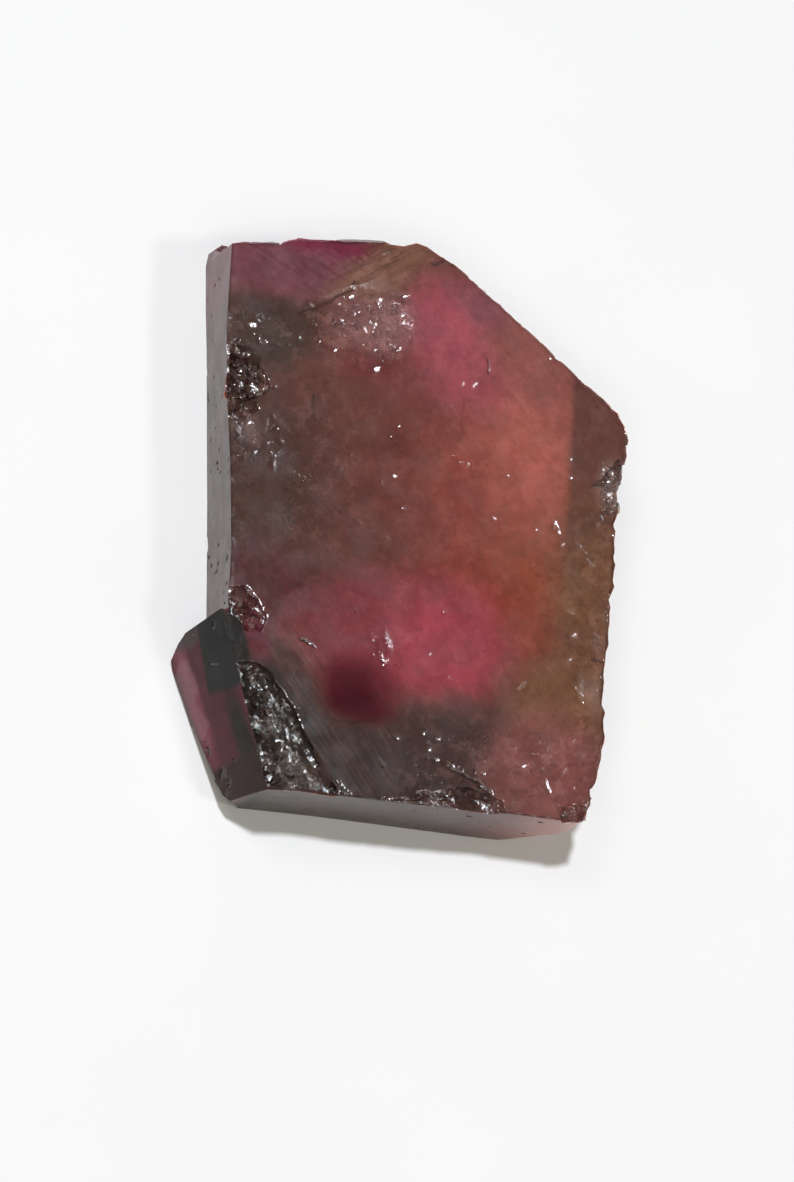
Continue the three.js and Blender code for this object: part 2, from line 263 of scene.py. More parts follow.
# ---- the stone's broken patches ----------------------------------------------------------------------------
@dataclass(frozen=True)
class Patch:
    """An area of the sawn top that is broken, not sawn.

    Attributes:
        name: What the patch is.
        corners: A convex outline on the plan, walked with the patch on the left hand.
        bowl: Typical size of the broken bowls in millimetres.
        relief: Depth of the bowls in millimetres.
        edge: Width over which the patch fades out.
        gloss: How broken the patch looks, from 0 to 1.
        fill: Share of the solid's own depth that is left out, where its low slopes barely show.
    """

    name: str
    corners: tuple[Plan, ...]
    bowl: float
    relief: float
    edge: float = 0.25
    gloss: float = 1.0
    fill: float = 0.0

    def weight(self, plan: Points) -> Values:
        """How much each place belongs to the patch.

        Args:
            plan: Places on the plan.

        Returns:
            0 outside to 1 inside.
        """
        outside = np.full(len(plan), -np.inf)
        for (x0, y0), (x1, y1) in zip(self.corners, self.corners[1:] + self.corners[:1]):
            length = math.hypot(x1 - x0, y1 - y0)
            distance = ((plan[:, 0] - x0) * (y1 - y0) - (plan[:, 1] - y0) * (x1 - x0)) / length
            outside = np.maximum(outside, distance)
        return smooth_step(self.edge, -self.edge, outside)


PATCHES = (
    Patch("cavity at the left edge",
          ((-8.3, 7.0), (-8.3, 4.6), (-6.8, 4.7), (-6.2, 5.2), (-7.0, 6.9)), 0.42, 0.14, 0.04),
    Patch("curl below the cavity",
          ((-8.3, 4.8), (-8.3, 3.7), (-7.2, 3.6), (-6.6, 4.3), (-6.9, 4.9)), 0.3, 0.1, 0.04),
    Patch("pale patch",
          ((-7.6, 3.9), (-7.6, 1.9), (-5.6, 1.8), (-5.4, 3.2), (-6.0, 4.0)), 0.3, 0.012, 0.4, 0.3, 0.92),
    Patch("grey green corner",
          ((-7.9, 8.6), (-7.9, 6.8), (-5.0, 6.6), (-4.6, 8.4)), 0.5, 0.01, 0.5, 0.35, 0.8),
    Patch("fan",
          ((-4.7, 8.6), (-4.2, 7.0), (-1.2, 6.2), (0.2, 7.7), (0.1, 9.6), (-2.5, 10.1)), 0.5, 0.02, 0.5, 0.6),
    Patch("slope behind the fan",
          ((-5.4, 9.4), (-4.6, 6.2), (1.4, 6.2), (2.4, 12.9), (-3.0, 12.9)), 1.0, 0.0, 0.4, 0.0, 0.65),
    Patch("pit at the spur",
          ((-7.9, -3.6), (-7.8, -5.0), (-6.5, -5.5), (-6.3, -4.9), (-7.0, -3.6)), 0.34, 0.1, 0.04),
    Patch("strip beside the spur",
          ((-7.6, -7.0), (-6.1, -12.7), (-3.2, -12.7), (-3.1, -12.1), (-5.9, -7.4), (-6.6, -6.9)),
          0.55, 0.25, 0.06),
    Patch("front notch",
          ((1.6, -12.0), (1.9, -13.2), (4.4, -13.2), (4.0, -12.3), (2.4, -11.7)), 0.34, 0.1, 0.04),
    Patch("front edge", ((-1.2, -12.45), (-1.2, -13.2), (2.2, -13.2), (2.0, -12.2)), 0.26, 0.06, 0.04),
    Patch("front right corner", ((6.5, -12.35), (6.6, -13.3), (8.3, -13.3), (8.3, -12.0)), 0.36, 0.1, 0.04),
    Patch("right edge chips", ((8.6, 2.9), (8.5, 0.7), (9.9, 0.7), (9.9, 2.9)), 0.4, 0.12, 0.04),
    Patch("right rim",
          ((7.2, 0.9), (6.9, -6.0), (7.2, -9.4), (9.0, -9.4), (9.6, 0.9)), 0.8, 0.01, 0.4, 0.25, 0.7),
    Patch("lumpy front right",
          ((4.2, -9.2), (4.3, -12.2), (7.9, -12.2), (8.3, -8.8)), 0.7, 0.012, 0.6, 0.3, 0.7),
    Patch("brown slope at the back",
          ((-2.6, 10.5), (1.3, 11.2), (1.2, 12.6), (-2.2, 12.2)), 0.6, 0.02, 0.2, 0.4),
    Patch("dish at the wine spot",
          ((-4.2, -6.2), (-4.2, -9.6), (-0.3, -9.6), (-0.3, -6.2)), 1.0, 0.0, 0.3, 0.0, 0.95),
    Patch("slope above the pit",
          ((-7.6, -2.0), (-7.3, -3.5), (-6.5, -4.3), (-5.3, -3.6), (-6.0, -2.0)), 1.0, 0.0, 0.3, 0.0, 0.95),
    Patch("dish at the left",
          ((-5.4, 1.8), (-5.4, -0.6), (-1.2, -0.6), (-1.2, 1.8)), 1.0, 0.0, 0.3, 0.0, 0.9),
    Patch("dish at the right", ((2.0, 6.2), (2.0, 3.0), (6.6, 3.0), (6.6, 6.2)), 1.0, 0.0, 0.3, 0.0, 0.9),
    Patch("scratched spot",
          ((-1.8, -5.3), (-1.2, -6.9), (-0.5, -6.8), (-1.2, -5.3)), 0.3, 0.035, 0.2, 0.5, 0.4),
    Patch("dull low middle",
          ((-0.4, -10.6), (0.3, -12.4), (3.6, -12.1), (3.9, -9.3), (1.6, -9.2)), 0.5, 0.01, 0.6, 0.35),
    Patch("dull left middle",
          ((-5.9, 4.6), (-5.6, -1.2), (-2.6, -1.4), (-2.2, 0.8), (-3.6, 5.6)), 0.6, 0.006, 0.5, 0.15, 1.0),
)


@dataclass(frozen=True)
class Scratch:
    """A broken, shallow scratch or a dark crack on the top."""

    name: str
    start: Plan
    end: Plan
    width: float = 0.09
    depth: float = 0.05
    dark: float = 0.5

    def weight(self, plan: Points) -> Values:
        """How much each place belongs to the scratch.

        Args:
            plan: Places on the plan.

        Returns:
            0 beside it to 1 on its line.
        """
        start, line = np.array(self.start), np.array(self.end) - np.array(self.start)
        away = plan - start
        share = np.clip(away @ line / (line @ line), 0.0, 1.0)
        return np.clip(1.0 - np.linalg.norm(away - share[:, None] * line, axis=1) / self.width, 0.0, 1.0)


SCRATCHES = (
    Scratch("upright, right of the middle", (2.39, 5.4), (2.39, 3.9), 0.11, 0.04, 0.2),
    Scratch("upright, under the fan", (-4.22, 5.0), (-4.1, 3.9), 0.1, 0.05, 0.8),
    Scratch("dark, on the pink", (-4.65, -5.82), (-4.1, -6.1), 0.1, 0.07, 1.0),
    Scratch("under the wine spot", (-3.64, -9.21), (-1.48, -9.17), 0.08, 0.04, 0.6),
    Scratch("on the left, falling", (-3.46, 0.25), (-2.2, -0.6), 0.06, 0.04),
    Scratch("on the left, level", (-5.2, 0.05), (-3.68, 0.29), 0.06, 0.04),
    Scratch("towards the front notch", (1.5, -10.8), (3.5, -11.9), 0.12, 0.1, 0.9),
    Scratch("on the slanting side", (3.45, 7.3), (3.5, 6.6), 0.08, 0.04, 0.9),
    Scratch("upper rim of the fan, left", (-4.86, 8.59), (-3.15, 9.5), 0.1, 0.03, 0.8),
    Scratch("upper rim of the fan", (-3.15, 9.5), (-2.45, 9.93), 0.1, 0.03, 0.9),
    Scratch("upper rim of the fan, upright", (-2.45, 9.93), (-2.41, 10.35), 0.08, 0.03, 0.8),
    Scratch("under the cavity", (-7.8, 3.9), (-7.3, 4.5), 0.12, 0.05, 0.9),
    Scratch("beside the cavity", (-7.3, 4.5), (-5.9, 5.2), 0.12, 0.04, 0.8),
    Scratch("border of the strip, back", (-6.1, -7.1), (-4.7, -9.0), 0.32, 0.0, 0.75),
    Scratch("border of the strip, middle", (-4.7, -9.0), (-3.8, -10.3), 0.32, 0.0, 0.75),
    Scratch("border of the strip, front", (-3.8, -10.3), (-2.85, -12.1), 0.3, 0.0, 0.75),
)


@dataclass(frozen=True)
class Fleck:
    """A small glint of broken crystal on the top: its face leans, and its pale colour is a painted highlight.
    """

    at: Plan
    radius: float

    def weight(self, plan: Points) -> Values:
        """How much of the fleck shows at each place on the plan, from 0 to 1."""
        across, along = across_and_along(plan - np.array(self.at), SAW_HEADING - 90.0 * self.at[0])
        return smooth_step(1.15, 0.35, np.hypot(across * 1.6, along * 0.8) / self.radius)


FLECKS = (
    Fleck((-6.87, 7.93), 0.17), Fleck((-4.29, 9.04), 0.16), Fleck((-2.4, 10.02), 0.14),
    Fleck((-1.29, 9.52), 0.15), Fleck((-1.95, 8.11), 0.16), Fleck((-1.51, 8.37), 0.13),
    Fleck((-1.37, 6.35), 0.17), Fleck((-0.71, 7.53), 0.12), Fleck((-6.96, 3.59), 0.13),
    Fleck((-0.62, 1.71), 0.1), Fleck((2.6, 2.4), 0.16), Fleck((2.93, 6.02), 0.13),
    Fleck((2.4, 6.07), 0.14), Fleck((3.79, 0.12), 0.12), Fleck((6.8, -0.87), 0.12),
    Fleck((4.93, -7.21), 0.2), Fleck((7.06, -5.94), 0.14), Fleck((7.3, -4.83), 0.12),
    Fleck((5.04, -10.65), 0.13), Fleck((-7.3, -4.3), 0.2), Fleck((-6.8, -5.0), 0.16),
    Fleck((-1.49, -5.61), 0.09), Fleck((-1.05, -6.46), 0.14), Fleck((0.91, -6.11), 0.1),
    Fleck((1.78, -7.02), 0.09),
)


@dataclass(frozen=True)
class PitField:
    """Small pits strewn over the sawn top.

    Attributes:
        name: What the pits are.
        at: The middle of the field on the plan.
        half: Half extents of the field.
        count: How many pits.
        radius: A pit's radius in millimetres.
        depth: A pit's depth in millimetres.
    """

    name: str
    at: Plan
    half: Plan
    count: int
    radius: float
    depth: float


PIT_FIELDS = (
    PitField("left half", (-4.0, 3.0), (4.0, 7.5), 20, 0.08, 0.05),
    PitField("middle", (2.0, 2.0), (5.0, 7.0), 8, 0.07, 0.04),
    PitField("front", (0.5, -10.5), (6.5, 2.0), 20, 0.08, 0.06),
    PitField("right rim", (8.0, -3.5), (0.9, 6.5), 16, 0.1, 0.06),
)


# ---- the fine surface --------------------------------------------------------------------------------------
@dataclass(frozen=True)
class Relief:
    """One kind of relief in the stone's surface, in millimetres.

    Attributes:
        size: Its typical size across.
        depth: How deep it is cut.
    """

    size: float
    depth: float


TOP_WAVE = Relief(2.5, 0.006)  # the sawn top isn't quite flat
GROOVE = Relief(0.3, 0.004)  # the saw's deepest marks
GROOVE_LENGTH = 6.0  # in millimetres, as are the sizes and depths below
GROOVE_GAP = 1.4  # how far apart they break off
BITE = Relief(0.45, 0.07)  # what is nibbled off the top's edges
BITE_CHIP = 0.22  # size of the chips in it
BITE_REACH = 0.18  # how far in from the edge it reaches
NICK = Relief(0.16, 0.06)  # in the flat slanting face
WALL_WAVE = Relief(1.6, 0.008)  # the sawn sides
WALL_PIT = Relief(0.28, 0.07)
FINE_WALL_PIT = 0.13  # size of the finer lumps in a pit's outline
FLUTE = Relief(0.45, 0.03)  # the prism faces
UPRIGHT = 0.05  # heights count this little in the flutes, so that they run straight down
SHELL = Relief(1.0, 0.13)  # the broken back
FINE_SHELL = Relief(0.35, 0.03)
NIBBLE_DEPTH = 0.04  # the natural sides' upper edges are nibbled by the same fine shells
NIBBLED = (4.5, 4.95)  # the heights where that starts and is full


@dataclass
class Skin:
    """Builds the stone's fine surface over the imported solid.

    Attributes:
        octree_depth: Fineness of the even mesh that the solid is turned into first.
        most_triangles: The fine mesh is reduced to this many triangles.
        crease: Edges sharper than this stay sharp, in degrees.
        arris_radius: How far the top's edges are worn round, in millimetres.
        arris_band: An edge of the top is looked for this near the top's level, in millimetres.
        arris_wall: The heights between which it has a wall below, in millimetres.
        arris_lean: The least and the largest share of its normal that points up.
        wear_reach: How far in from the top's edges they are nibbled, in millimetres.
        face_reach: Places nearer the flat slanting face than this lie on it, in millimetres.
        weld_reach: Vertices nearer than this are one, in metres.
        least_fine: Marks fainter or shallower than this needn't stay fine.
        seed: Places the pits.
        spur: The flat slanting face.
    """

    octree_depth: int = 9
    quick_depth: int = 8
    most_triangles: int = 190_000
    crease: float = 24.0
    arris_radius: float = 0.05
    arris_band: float = 0.08
    arris_wall: Ends = (3.8, 4.2)
    arris_lean: Ends = (0.2, 0.93)
    wear_reach: float = 0.25
    face_reach: float = 0.02
    weld_reach: float = 1e-7
    least_fine: float = 0.03
    seed: int = 5
    spur: SpurFace = SpurFace()

    def build(self, solid: bpy.types.Object) -> bpy.types.Object:
        """Makes the skin.

        Args:
            solid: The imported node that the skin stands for.

        Returns:
            The finished mesh object, without a material.
        """
        piece = bpy.data.objects.new("crystal_slab", solid.data.copy())
        bpy.context.collection.objects.link(piece)
        piece.data.materials.clear()
        depth = self.octree_depth
        cells = {"mode": "SHARP", "octree_depth": depth, "scale": 0.95, "sharpness": 1.0}
        self.modify(piece, "WELD", merge_threshold=self.weld_reach)
        self.modify(piece, "REMESH", use_remove_disconnected=False, **cells)
        arris = self.find_arris(piece.data)
        self.roughen(piece.data, arris)
        self.reduce(piece, arris)
        piece.data.shade_smooth()
        piece.data.set_sharp_from_angle(angle=math.radians(self.crease))
        self.record_finish(piece.data, arris)
        return piece

    @staticmethod
    def modify(piece: bpy.types.Object, kind: str, **settings: object) -> None:
        """Puts a modifier's work into the piece's mesh.

        Args:
            piece: The piece.
            kind: The modifier's type.
            settings: Its settings.
        """
        modifier = piece.modifiers.new(kind.lower(), kind)
        for name, value in settings.items():
            setattr(modifier, name, value)
        seen = piece.evaluated_get(bpy.context.evaluated_depsgraph_get())
        mesh = bpy.data.meshes.new_from_object(seen)
        piece.modifiers.clear()
        piece.data = mesh

    @staticmethod
    def surface(mesh: bpy.types.Mesh) -> tuple[Points, Points]:
        """Every vertex's drawing place in millimetres, and its normal.

        Args:
            mesh: The piece's mesh.

        Returns:
            The places and the normals.
        """
        places = np.empty(len(mesh.vertices) * 3)
        mesh.vertices.foreach_get("co", places)
        normals = np.empty(len(mesh.vertices) * 3)
        mesh.vertices.foreach_get("normal", normals)
        return places.reshape(-1, 3) / MM + np.array(DRAWING_MIDDLE), normals.reshape(-1, 3)

    def find_arris(self, mesh: bpy.types.Mesh) -> KDTree:
        """The edge line of the top, where it has a tall side below.

        Args:
            mesh: The piece's mesh.

        Returns:
            The edge's places, arranged for finding the nearest.
        """
        points, normals = self.surface(mesh)
        below = self.between(points[:, 2], self.arris_wall) & (np.abs(normals[:, 2]) < 0.75)
        tall = self.tree(points[below] * np.array([1.0, 1.0, 0.0]))
        on_edge = (points[:, 2] > THICKNESS - self.arris_band) & self.between(normals[:, 2], self.arris_lean)
        found = [place for place in points[on_edge] if tall.find((place[0], place[1], 0.0))[2] < 0.6]
        return self.tree(np.array(found))

    @staticmethod
    def between(values: Values, ends: Ends) -> np.ndarray:
        """Which values lie between two ends."""
        return (values > ends[0]) & (values < ends[1])

    @staticmethod
    def tree(points: Points) -> KDTree:
        """Places arranged for finding the nearest one.

        Args:
            points: Drawing places.

        Returns:
            The tree that finds the nearest.
        """
        tree = KDTree(len(points))
        for number, place in enumerate(points):
            tree.insert(place, number)
        tree.balance()
        return tree

    @staticmethod
    def from_arris(points: Points, arris: KDTree, reach: float = 0.6) -> Values:
        """How far each place is from the top's edge line.

        Args:
            points: Drawing places.
            arris: The top's edge line.
            reach: The longest distance that is told.

        Returns:
            The distances in millimetres.
        """
        distance = np.full(len(points), reach)
        for number in np.flatnonzero(points[:, 2] > THICKNESS - reach):
            distance[number] = min(reach, arris.find(points[number])[2])
        return distance

    @staticmethod
    def patch_plan(points: Points) -> Points:
        """Places on the plan, pushed about so that the patches' borders wander."""
        return wandered(points, 0.9, 0.3, Salt.PATCHES)

    @staticmethod
    def line_plan(points: Points) -> Points:
        """Places on the plan, pushed about so that scratches and cracks waver."""
        return wandered(points, 0.5, 0.12, Salt.LINES)

    def broken_weight(self, points: Points) -> Values:
        """How broken the top is at each place, from 0 to 1."""
        plan = self.patch_plan(points)
        return np.max([patch.gloss * patch.weight(plan) for patch in PATCHES], axis=0)

    @staticmethod
    def fleck_weight(points: Points) -> Values:
        """How much of a fleck shows at each place, from 0 to 1."""
        plan = wandered(points, 0.16, 0.12, Salt.FLECKS)
        return np.max([fleck.weight(plan) for fleck in FLECKS], axis=0)

    def line_weight(self, points: Points) -> Values:
        """How dark the scratches and cracks are.

        Args:
            points: Drawing places.

        Returns:
            0 to 1 at each place.
        """
        plan = self.line_plan(points)
        breaks = 0.7 + 0.5 * smooth_noise(points, 0.4, Salt.LINE_SHADES)
        darkest = np.max([line.dark * line.weight(plan) for line in SCRATCHES], axis=0)
        return np.clip(darkest * breaks * 1.5, 0.0, 1.0)

    def nick_weight(self, points: Points) -> Values:
        """How much of a nick in the flat slanting face shows.

        Args:
            points: Drawing places.

        Returns:
            0 to 1 at each place.
        """
        plan = wandered(self.spur.flat(points), NICK.size, NICK.size, Salt.NICKS)
        nicked = np.max([nick.weight(plan) for nick in SPUR_NICKS], axis=0)
        return nicked * (np.abs(self.spur.depth(points)) < 0.2)

    def top_places(self, points: Points, normals: Points) -> np.ndarray:
        """Which places lie on the top, its ledges and its pits."""
        return (normals[:, 2] > 0.2) & (points[:, 2] > PIT_FLOOR) & (self.spur.depth(points) > 0.08)

    @staticmethod
    def sawn_sides(points: Points, normals: Points) -> np.ndarray:
        """Which places lie on the left or front saw cut.

        Args:
            points: Drawing places.
            normals: Their normals.

        Returns:
            True where a place does.
        """
        left = (normals[:, 0] < -0.3) & (points[:, 0] < LEFT_CUT) & (points[:, 1] > SPUR_BACK)
        front = (normals[:, 1] < -0.85) & (points[:, 1] < FRONT_CUT)
        return left | front

    def roughen(self, mesh: bpy.types.Mesh, arris: KDTree) -> None:
        """Gives each side its own relief: bowls, pits, grooves, flutes, ripples.

        Args:
            mesh: The piece's mesh.
            arris: The top's edge line.
        """
        points, normals = self.surface(mesh)
        inward = np.zeros(len(points))
        top = self.top_places(points, normals)
        inward[top] += self.top_relief(points[top])
        side = ~top & (normals[:, 2] < 0.55)
        sawn = self.sawn_sides(points, normals) & side
        natural = side & ~sawn & (normals[:, 2] > -0.8)
        inward[sawn] += self.sawn_relief(points[sawn])
        inward[natural] += self.natural_relief(points[natural], normals[natural])
        behind = self.spur.depth(points)
        inward[side] *= smooth_step(self.face_reach, 0.2, behind[side])
        flat = np.flatnonzero(np.abs(behind) < self.face_reach)
        inward[flat] = NICK.depth * self.nick_weight(points[flat])
        inward += self.edge_wear(points, self.from_arris(points, arris))
        moved = points - normals * inward[:, None]
        plan = points[top, :2]
        filled = np.max([patch.fill * patch.weight(plan) for patch in PATCHES if patch.fill], axis=0)
        moved[top, 2] += filled * (THICKNESS - moved[top, 2])
        moved[:, 2] = np.clip(moved[:, 2], 0.0, THICKNESS)
        mesh.vertices.foreach_set("co", ((moved - np.array(DRAWING_MIDDLE)) * MM).ravel())
        mesh.update()

    def edge_wear(self, points: Points, distance: Values) -> Values:
        """Depth worn and nibbled off along the top's edge line.

        Args:
            points: Drawing places.
            distance: How far each is from the edge line.

        Returns:
            The depth at each place, in millimetres.
        """
        wear = np.zeros(len(points))
        near = distance < self.wear_reach
        edge, off = points[near], distance[near]
        worn = 0.5 * self.arris_radius * np.clip(1.0 - off / self.arris_radius, 0.0, 1.0) ** 2
        at_left = edge[:, 0] < LEFT_CUT
        worn[at_left] = 0.0
        rough_edge = np.where(edge[:, 1] < FRONT_CUT + 0.8, 1.0, np.where(at_left, 0.15, 0.4))
        bite = smooth_step(0.15, 0.3, smooth_noise(edge, BITE.size, Salt.BITES)) * rough_edge
        chip = np.clip(1.3 - shell_break(edge, BITE_CHIP, Salt.CHIPS), 0.0, 1.0)
        wear[near] = worn + BITE.depth * bite * chip * np.clip(1.0 - off / BITE_REACH, 0.0, 1.0)
        return wear

    def top_relief(self, points: Points) -> Values:
        """Depth cut into the top: bowls in the broken patches, pits, scratches, saw grooves and slow waves.

        Args:
            points: Drawing places on the top.

        Returns:
            The depth at each place, in millimetres.
        """
        depth = TOP_WAVE.depth * (1.0 + layered_noise(points, TOP_WAVE.size, Salt.TOP_WAVES))
        plan = self.patch_plan(points)
        for number, patch in enumerate(PATCHES):
            weight = patch.weight(plan)
            inside = weight > 0.01
            near = points[inside]
            coarse = shell_break(near, patch.bowl, Salt.BOWLS + 20 * number)
            fine = shell_break(near, patch.bowl * 0.4, Salt.FINE_BOWLS + 20 * number)
            depth[inside] += weight[inside] * patch.relief * (1.1 - 0.75 * coarse - 0.3 * fine)
        wavering = self.line_plan(points)
        breaks = 0.6 + 0.6 * smooth_noise(points, 0.3, Salt.LINE_BREAKS)
        for scratch in SCRATCHES:
            depth += scratch.depth * scratch.weight(wavering) * breaks
        return depth + self.saw_grooves(points) + self.pits(points)

    @staticmethod
    def groove_weight(points: Points) -> Values:
        """How deep the saw marks are at each place: deepest at the front left.

        Args:
            points: Drawing places.

        Returns:
            0 to 1 at each place.
        """
        across, along = across_and_along(points - np.array(GROOVED_MIDDLE), SAW_HEADING)
        reach = np.hypot(across / 2.3, along / 4.8) + 0.25 * layered_noise(points, 1.2, Salt.GROOVED_AREA, 2)
        return smooth_step(1.15, 0.6, reach)

    def saw_grooves(self, points: Points) -> Values:
        """Depth of the saw's deepest marks at each place.

        Args:
            points: Drawing places.

        Returns:
            The depth at each place, in millimetres.
        """
        across, along = across_and_along(points, SAW_HEADING)
        lines = np.stack([across / GROOVE.size, along / GROOVE_LENGTH, np.zeros(len(points))], axis=1)
        broken = smooth_step(-0.3, 0.5, smooth_noise(points, GROOVE_GAP, Salt.GROOVE_GAPS))
        ridge = np.abs(smooth_noise(lines, 1.0, Salt.GROOVES))
        return GROOVE.depth * self.groove_weight(points) * broken * np.clip(1.0 - 3.5 * ridge, 0.0, 1.0)

    def pits(self, points: Points) -> Values:
        """Depth of the small pits at each place.

        Args:
            points: Drawing places.

        Returns:
            The depth at each place, in millimetres.
        """
        rng = np.random.default_rng(self.seed)
        depth = np.zeros(len(points))
        for field in PIT_FIELDS:
            for _ in range(field.count):
                x, y = (np.array(field.at) + rng.uniform(-1, 1, 2) * np.array(field.half)).tolist()
                turn, stretch = rng.uniform(0, math.pi), rng.uniform(1.0, 2.4)
                radius = field.radius * rng.uniform(0.5, 1.4)
                reach = radius * stretch
                near = (np.abs(points[:, 0] - x) < reach) & (np.abs(points[:, 1] - y) < reach)
                dx, dy = points[near, 0] - x, points[near, 1] - y
                along = (dx * math.cos(turn) + dy * math.sin(turn)) / reach
                across = (dy * math.cos(turn) - dx * math.sin(turn)) / radius
                distance = np.sqrt(along**2 + across**2)
                depth[near] += field.depth * np.clip(1.0 - distance, 0.0, 0.6)
        return depth

    @staticmethod
    def sawn_relief(points: Points) -> Values:
        """Depth cut into the sawn sides: slow waves, and pits that crowd together near the spur.

        Args:
            points: Drawing places.

        Returns:
            The depth at each place, in millimetres.
        """
        crowd = smooth_step(0.5, -2.5, points[:, 1]) * smooth_step(-5.2, -4.4, points[:, 1])
        stretched = points * np.array([1.0, 1.0, 0.6])
        noise = smooth_noise(stretched, WALL_PIT.size, Salt.WALL_PITS)
        noise += 0.4 * smooth_noise(stretched, FINE_WALL_PIT, Salt.FINE_WALL_PITS)
        pits = smooth_step(0.85 - 0.3 * crowd, 1.05 - 0.3 * crowd, noise)
        waves = 1.0 + layered_noise(points, WALL_WAVE.size, Salt.WALL_WAVES)
        return WALL_WAVE.depth * waves + WALL_PIT.depth * pits

    @staticmethod
    def natural_relief(points: Points, normals: Points) -> Values:
        """Depth cut into the prism faces' flutes, and into the broken back and undercut.

        Args:
            points: Drawing places on the natural sides.
            normals: Their normals.

        Returns:
            The depth at each place, in millimetres.
        """
        upright = points * np.array([1.0, 1.0, UPRIGHT])
        flutes = FLUTE.depth * (1.0 + layered_noise(upright, FLUTE.size, Salt.FLUTES))
        broken = np.maximum(
            smooth_step(BACK_BREAK, BACK_BREAK + 1.0, points[:, 1]) * smooth_step(1.9, 1.2, points[:, 0]),
            smooth_step(-0.15, -0.35, normals[:, 2]),
        )
        coarse = 1.0 - shell_break(points, SHELL.size, Salt.SHELLS)
        fine = 1.0 - shell_break(points, FINE_SHELL.size, Salt.FINE_SHELLS)
        shell = SHELL.depth * coarse + FINE_SHELL.depth * fine
        nibbled = smooth_step(*NIBBLED, points[:, 2]) * NIBBLE_DEPTH * fine
        return flutes * (1.0 - broken) + shell * broken + nibbled

    def reduce(self, piece: bpy.types.Object, arris: KDTree) -> None:
        """Takes triangles out where the surface is plain.

        Args:
            piece: The piece.
            arris: The top's edge line.
        """
        triangles = sum(len(polygon.vertices) - 2 for polygon in piece.data.polygons)
        if triangles <= self.most_triangles:
            return
        points, normals = self.surface(piece.data)
        plan = self.patch_plan(points)
        fine = [patch.weight(plan) for patch in PATCHES if patch.relief > self.least_fine]
        fine += [self.fleck_weight(points), self.line_weight(points)]
        detailed = (np.max(fine, axis=0) > self.least_fine) & self.top_places(points, normals)
        detailed |= (self.from_arris(points, arris) < 0.08) | (self.nick_weight(points) > self.least_fine)
        detailed = self.grown(piece.data, detailed)
        log.info("kept fine: %d of %d vertices", detailed.sum(), len(points))
        keep = piece.vertex_groups.new(name="keep")
        keep.add(np.flatnonzero(detailed).tolist(), 1.0, "REPLACE")
        ratio = self.most_triangles / triangles
        self.modify(piece, "DECIMATE", ratio=ratio, vertex_group=keep.name, invert_vertex_group=True)
        piece.vertex_groups.clear()

    @staticmethod
    def grown(mesh: bpy.types.Mesh, chosen: np.ndarray, rings: int = 2) -> np.ndarray:
        """The chosen vertices and the rings of vertices round them.

        Args:
            mesh: The piece's mesh.
            chosen: True at each chosen vertex.
            rings: How many rings are added.

        Returns:
            True at each vertex that is chosen now.
        """
        edges = np.empty(len(mesh.edges) * 2, dtype=np.int32)
        mesh.edges.foreach_get("vertices", edges)
        edges = edges.reshape(-1, 2)
        chosen = chosen.copy()
        for _ in range(rings):
            chosen[edges[chosen[edges].any(axis=1)]] = True
        return chosen

    def record_finish(self, mesh: bpy.types.Mesh, arris: KDTree) -> None:
        """Stores how broken, how sawn and how deep each place is, for the finish to read.

        Args:
            mesh: The piece's mesh.
            arris: The top's edge line.
        """
        points, normals = self.surface(mesh)
        top = smooth_step(0.1, 0.4, normals[:, 2]) * smooth_step(3.6, 4.2, points[:, 2])
        behind = smooth_step(0.03, 0.09, self.spur.depth(points))
        broken = self.broken_weight(points) * top * behind
        sawn_side = self.sawn_sides(points, normals)
        sides = smooth_step(0.5, 0.3, np.abs(normals[:, 2]))
        marks = {
            "broken": np.maximum(broken, np.where(sawn_side, 0.0, sides * behind)),
            "sawn": top * (1.0 - broken) * behind,
            "side": sides * sawn_side,
            # how deep each place lies below the top: the finish paints shade into the colour there
            "depth": np.clip((THICKNESS - 0.05 - points[:, 2]) / 0.6, 0.0, 1.0) * top * behind,
            # nearness to the top's edge line: the finish paints a dark outline of shade there
            "rim": smooth_step(0.1, 0.03, self.from_arris(points, arris)),
            # the flecks: their faces lean, and their colour is painted pale as a painted highlight
            "fleck": self.fleck_weight(points) * top * behind,
            "line": np.maximum(self.line_weight(points) * top * behind, self.nick_weight(points)),
            "groove": self.groove_weight(points) * top,
        }
        for name, values in marks.items():
            layer = mesh.attributes.new(name, "FLOAT", "POINT")
            layer.data.foreach_set("value", values.astype(np.float32))


# ---- the stone's colours -----------------------------------------------------------------------------------
def from_display(red: int, green: int, blue: int) -> Triple:
    """A colour given as it looks on a display, turned into light.

    Args:
        red: Red, 0 to 255.
        green: Green, 0 to 255.
        blue: Blue, 0 to 255.

    Returns:
        The three shares of light, 0 to 1.
    """
    return tuple(
        (value / 255 / 12.92) if value <= 10 else ((value / 255 + 0.055) / 1.055) ** 2.4
        for value in (red, green, blue)
    )


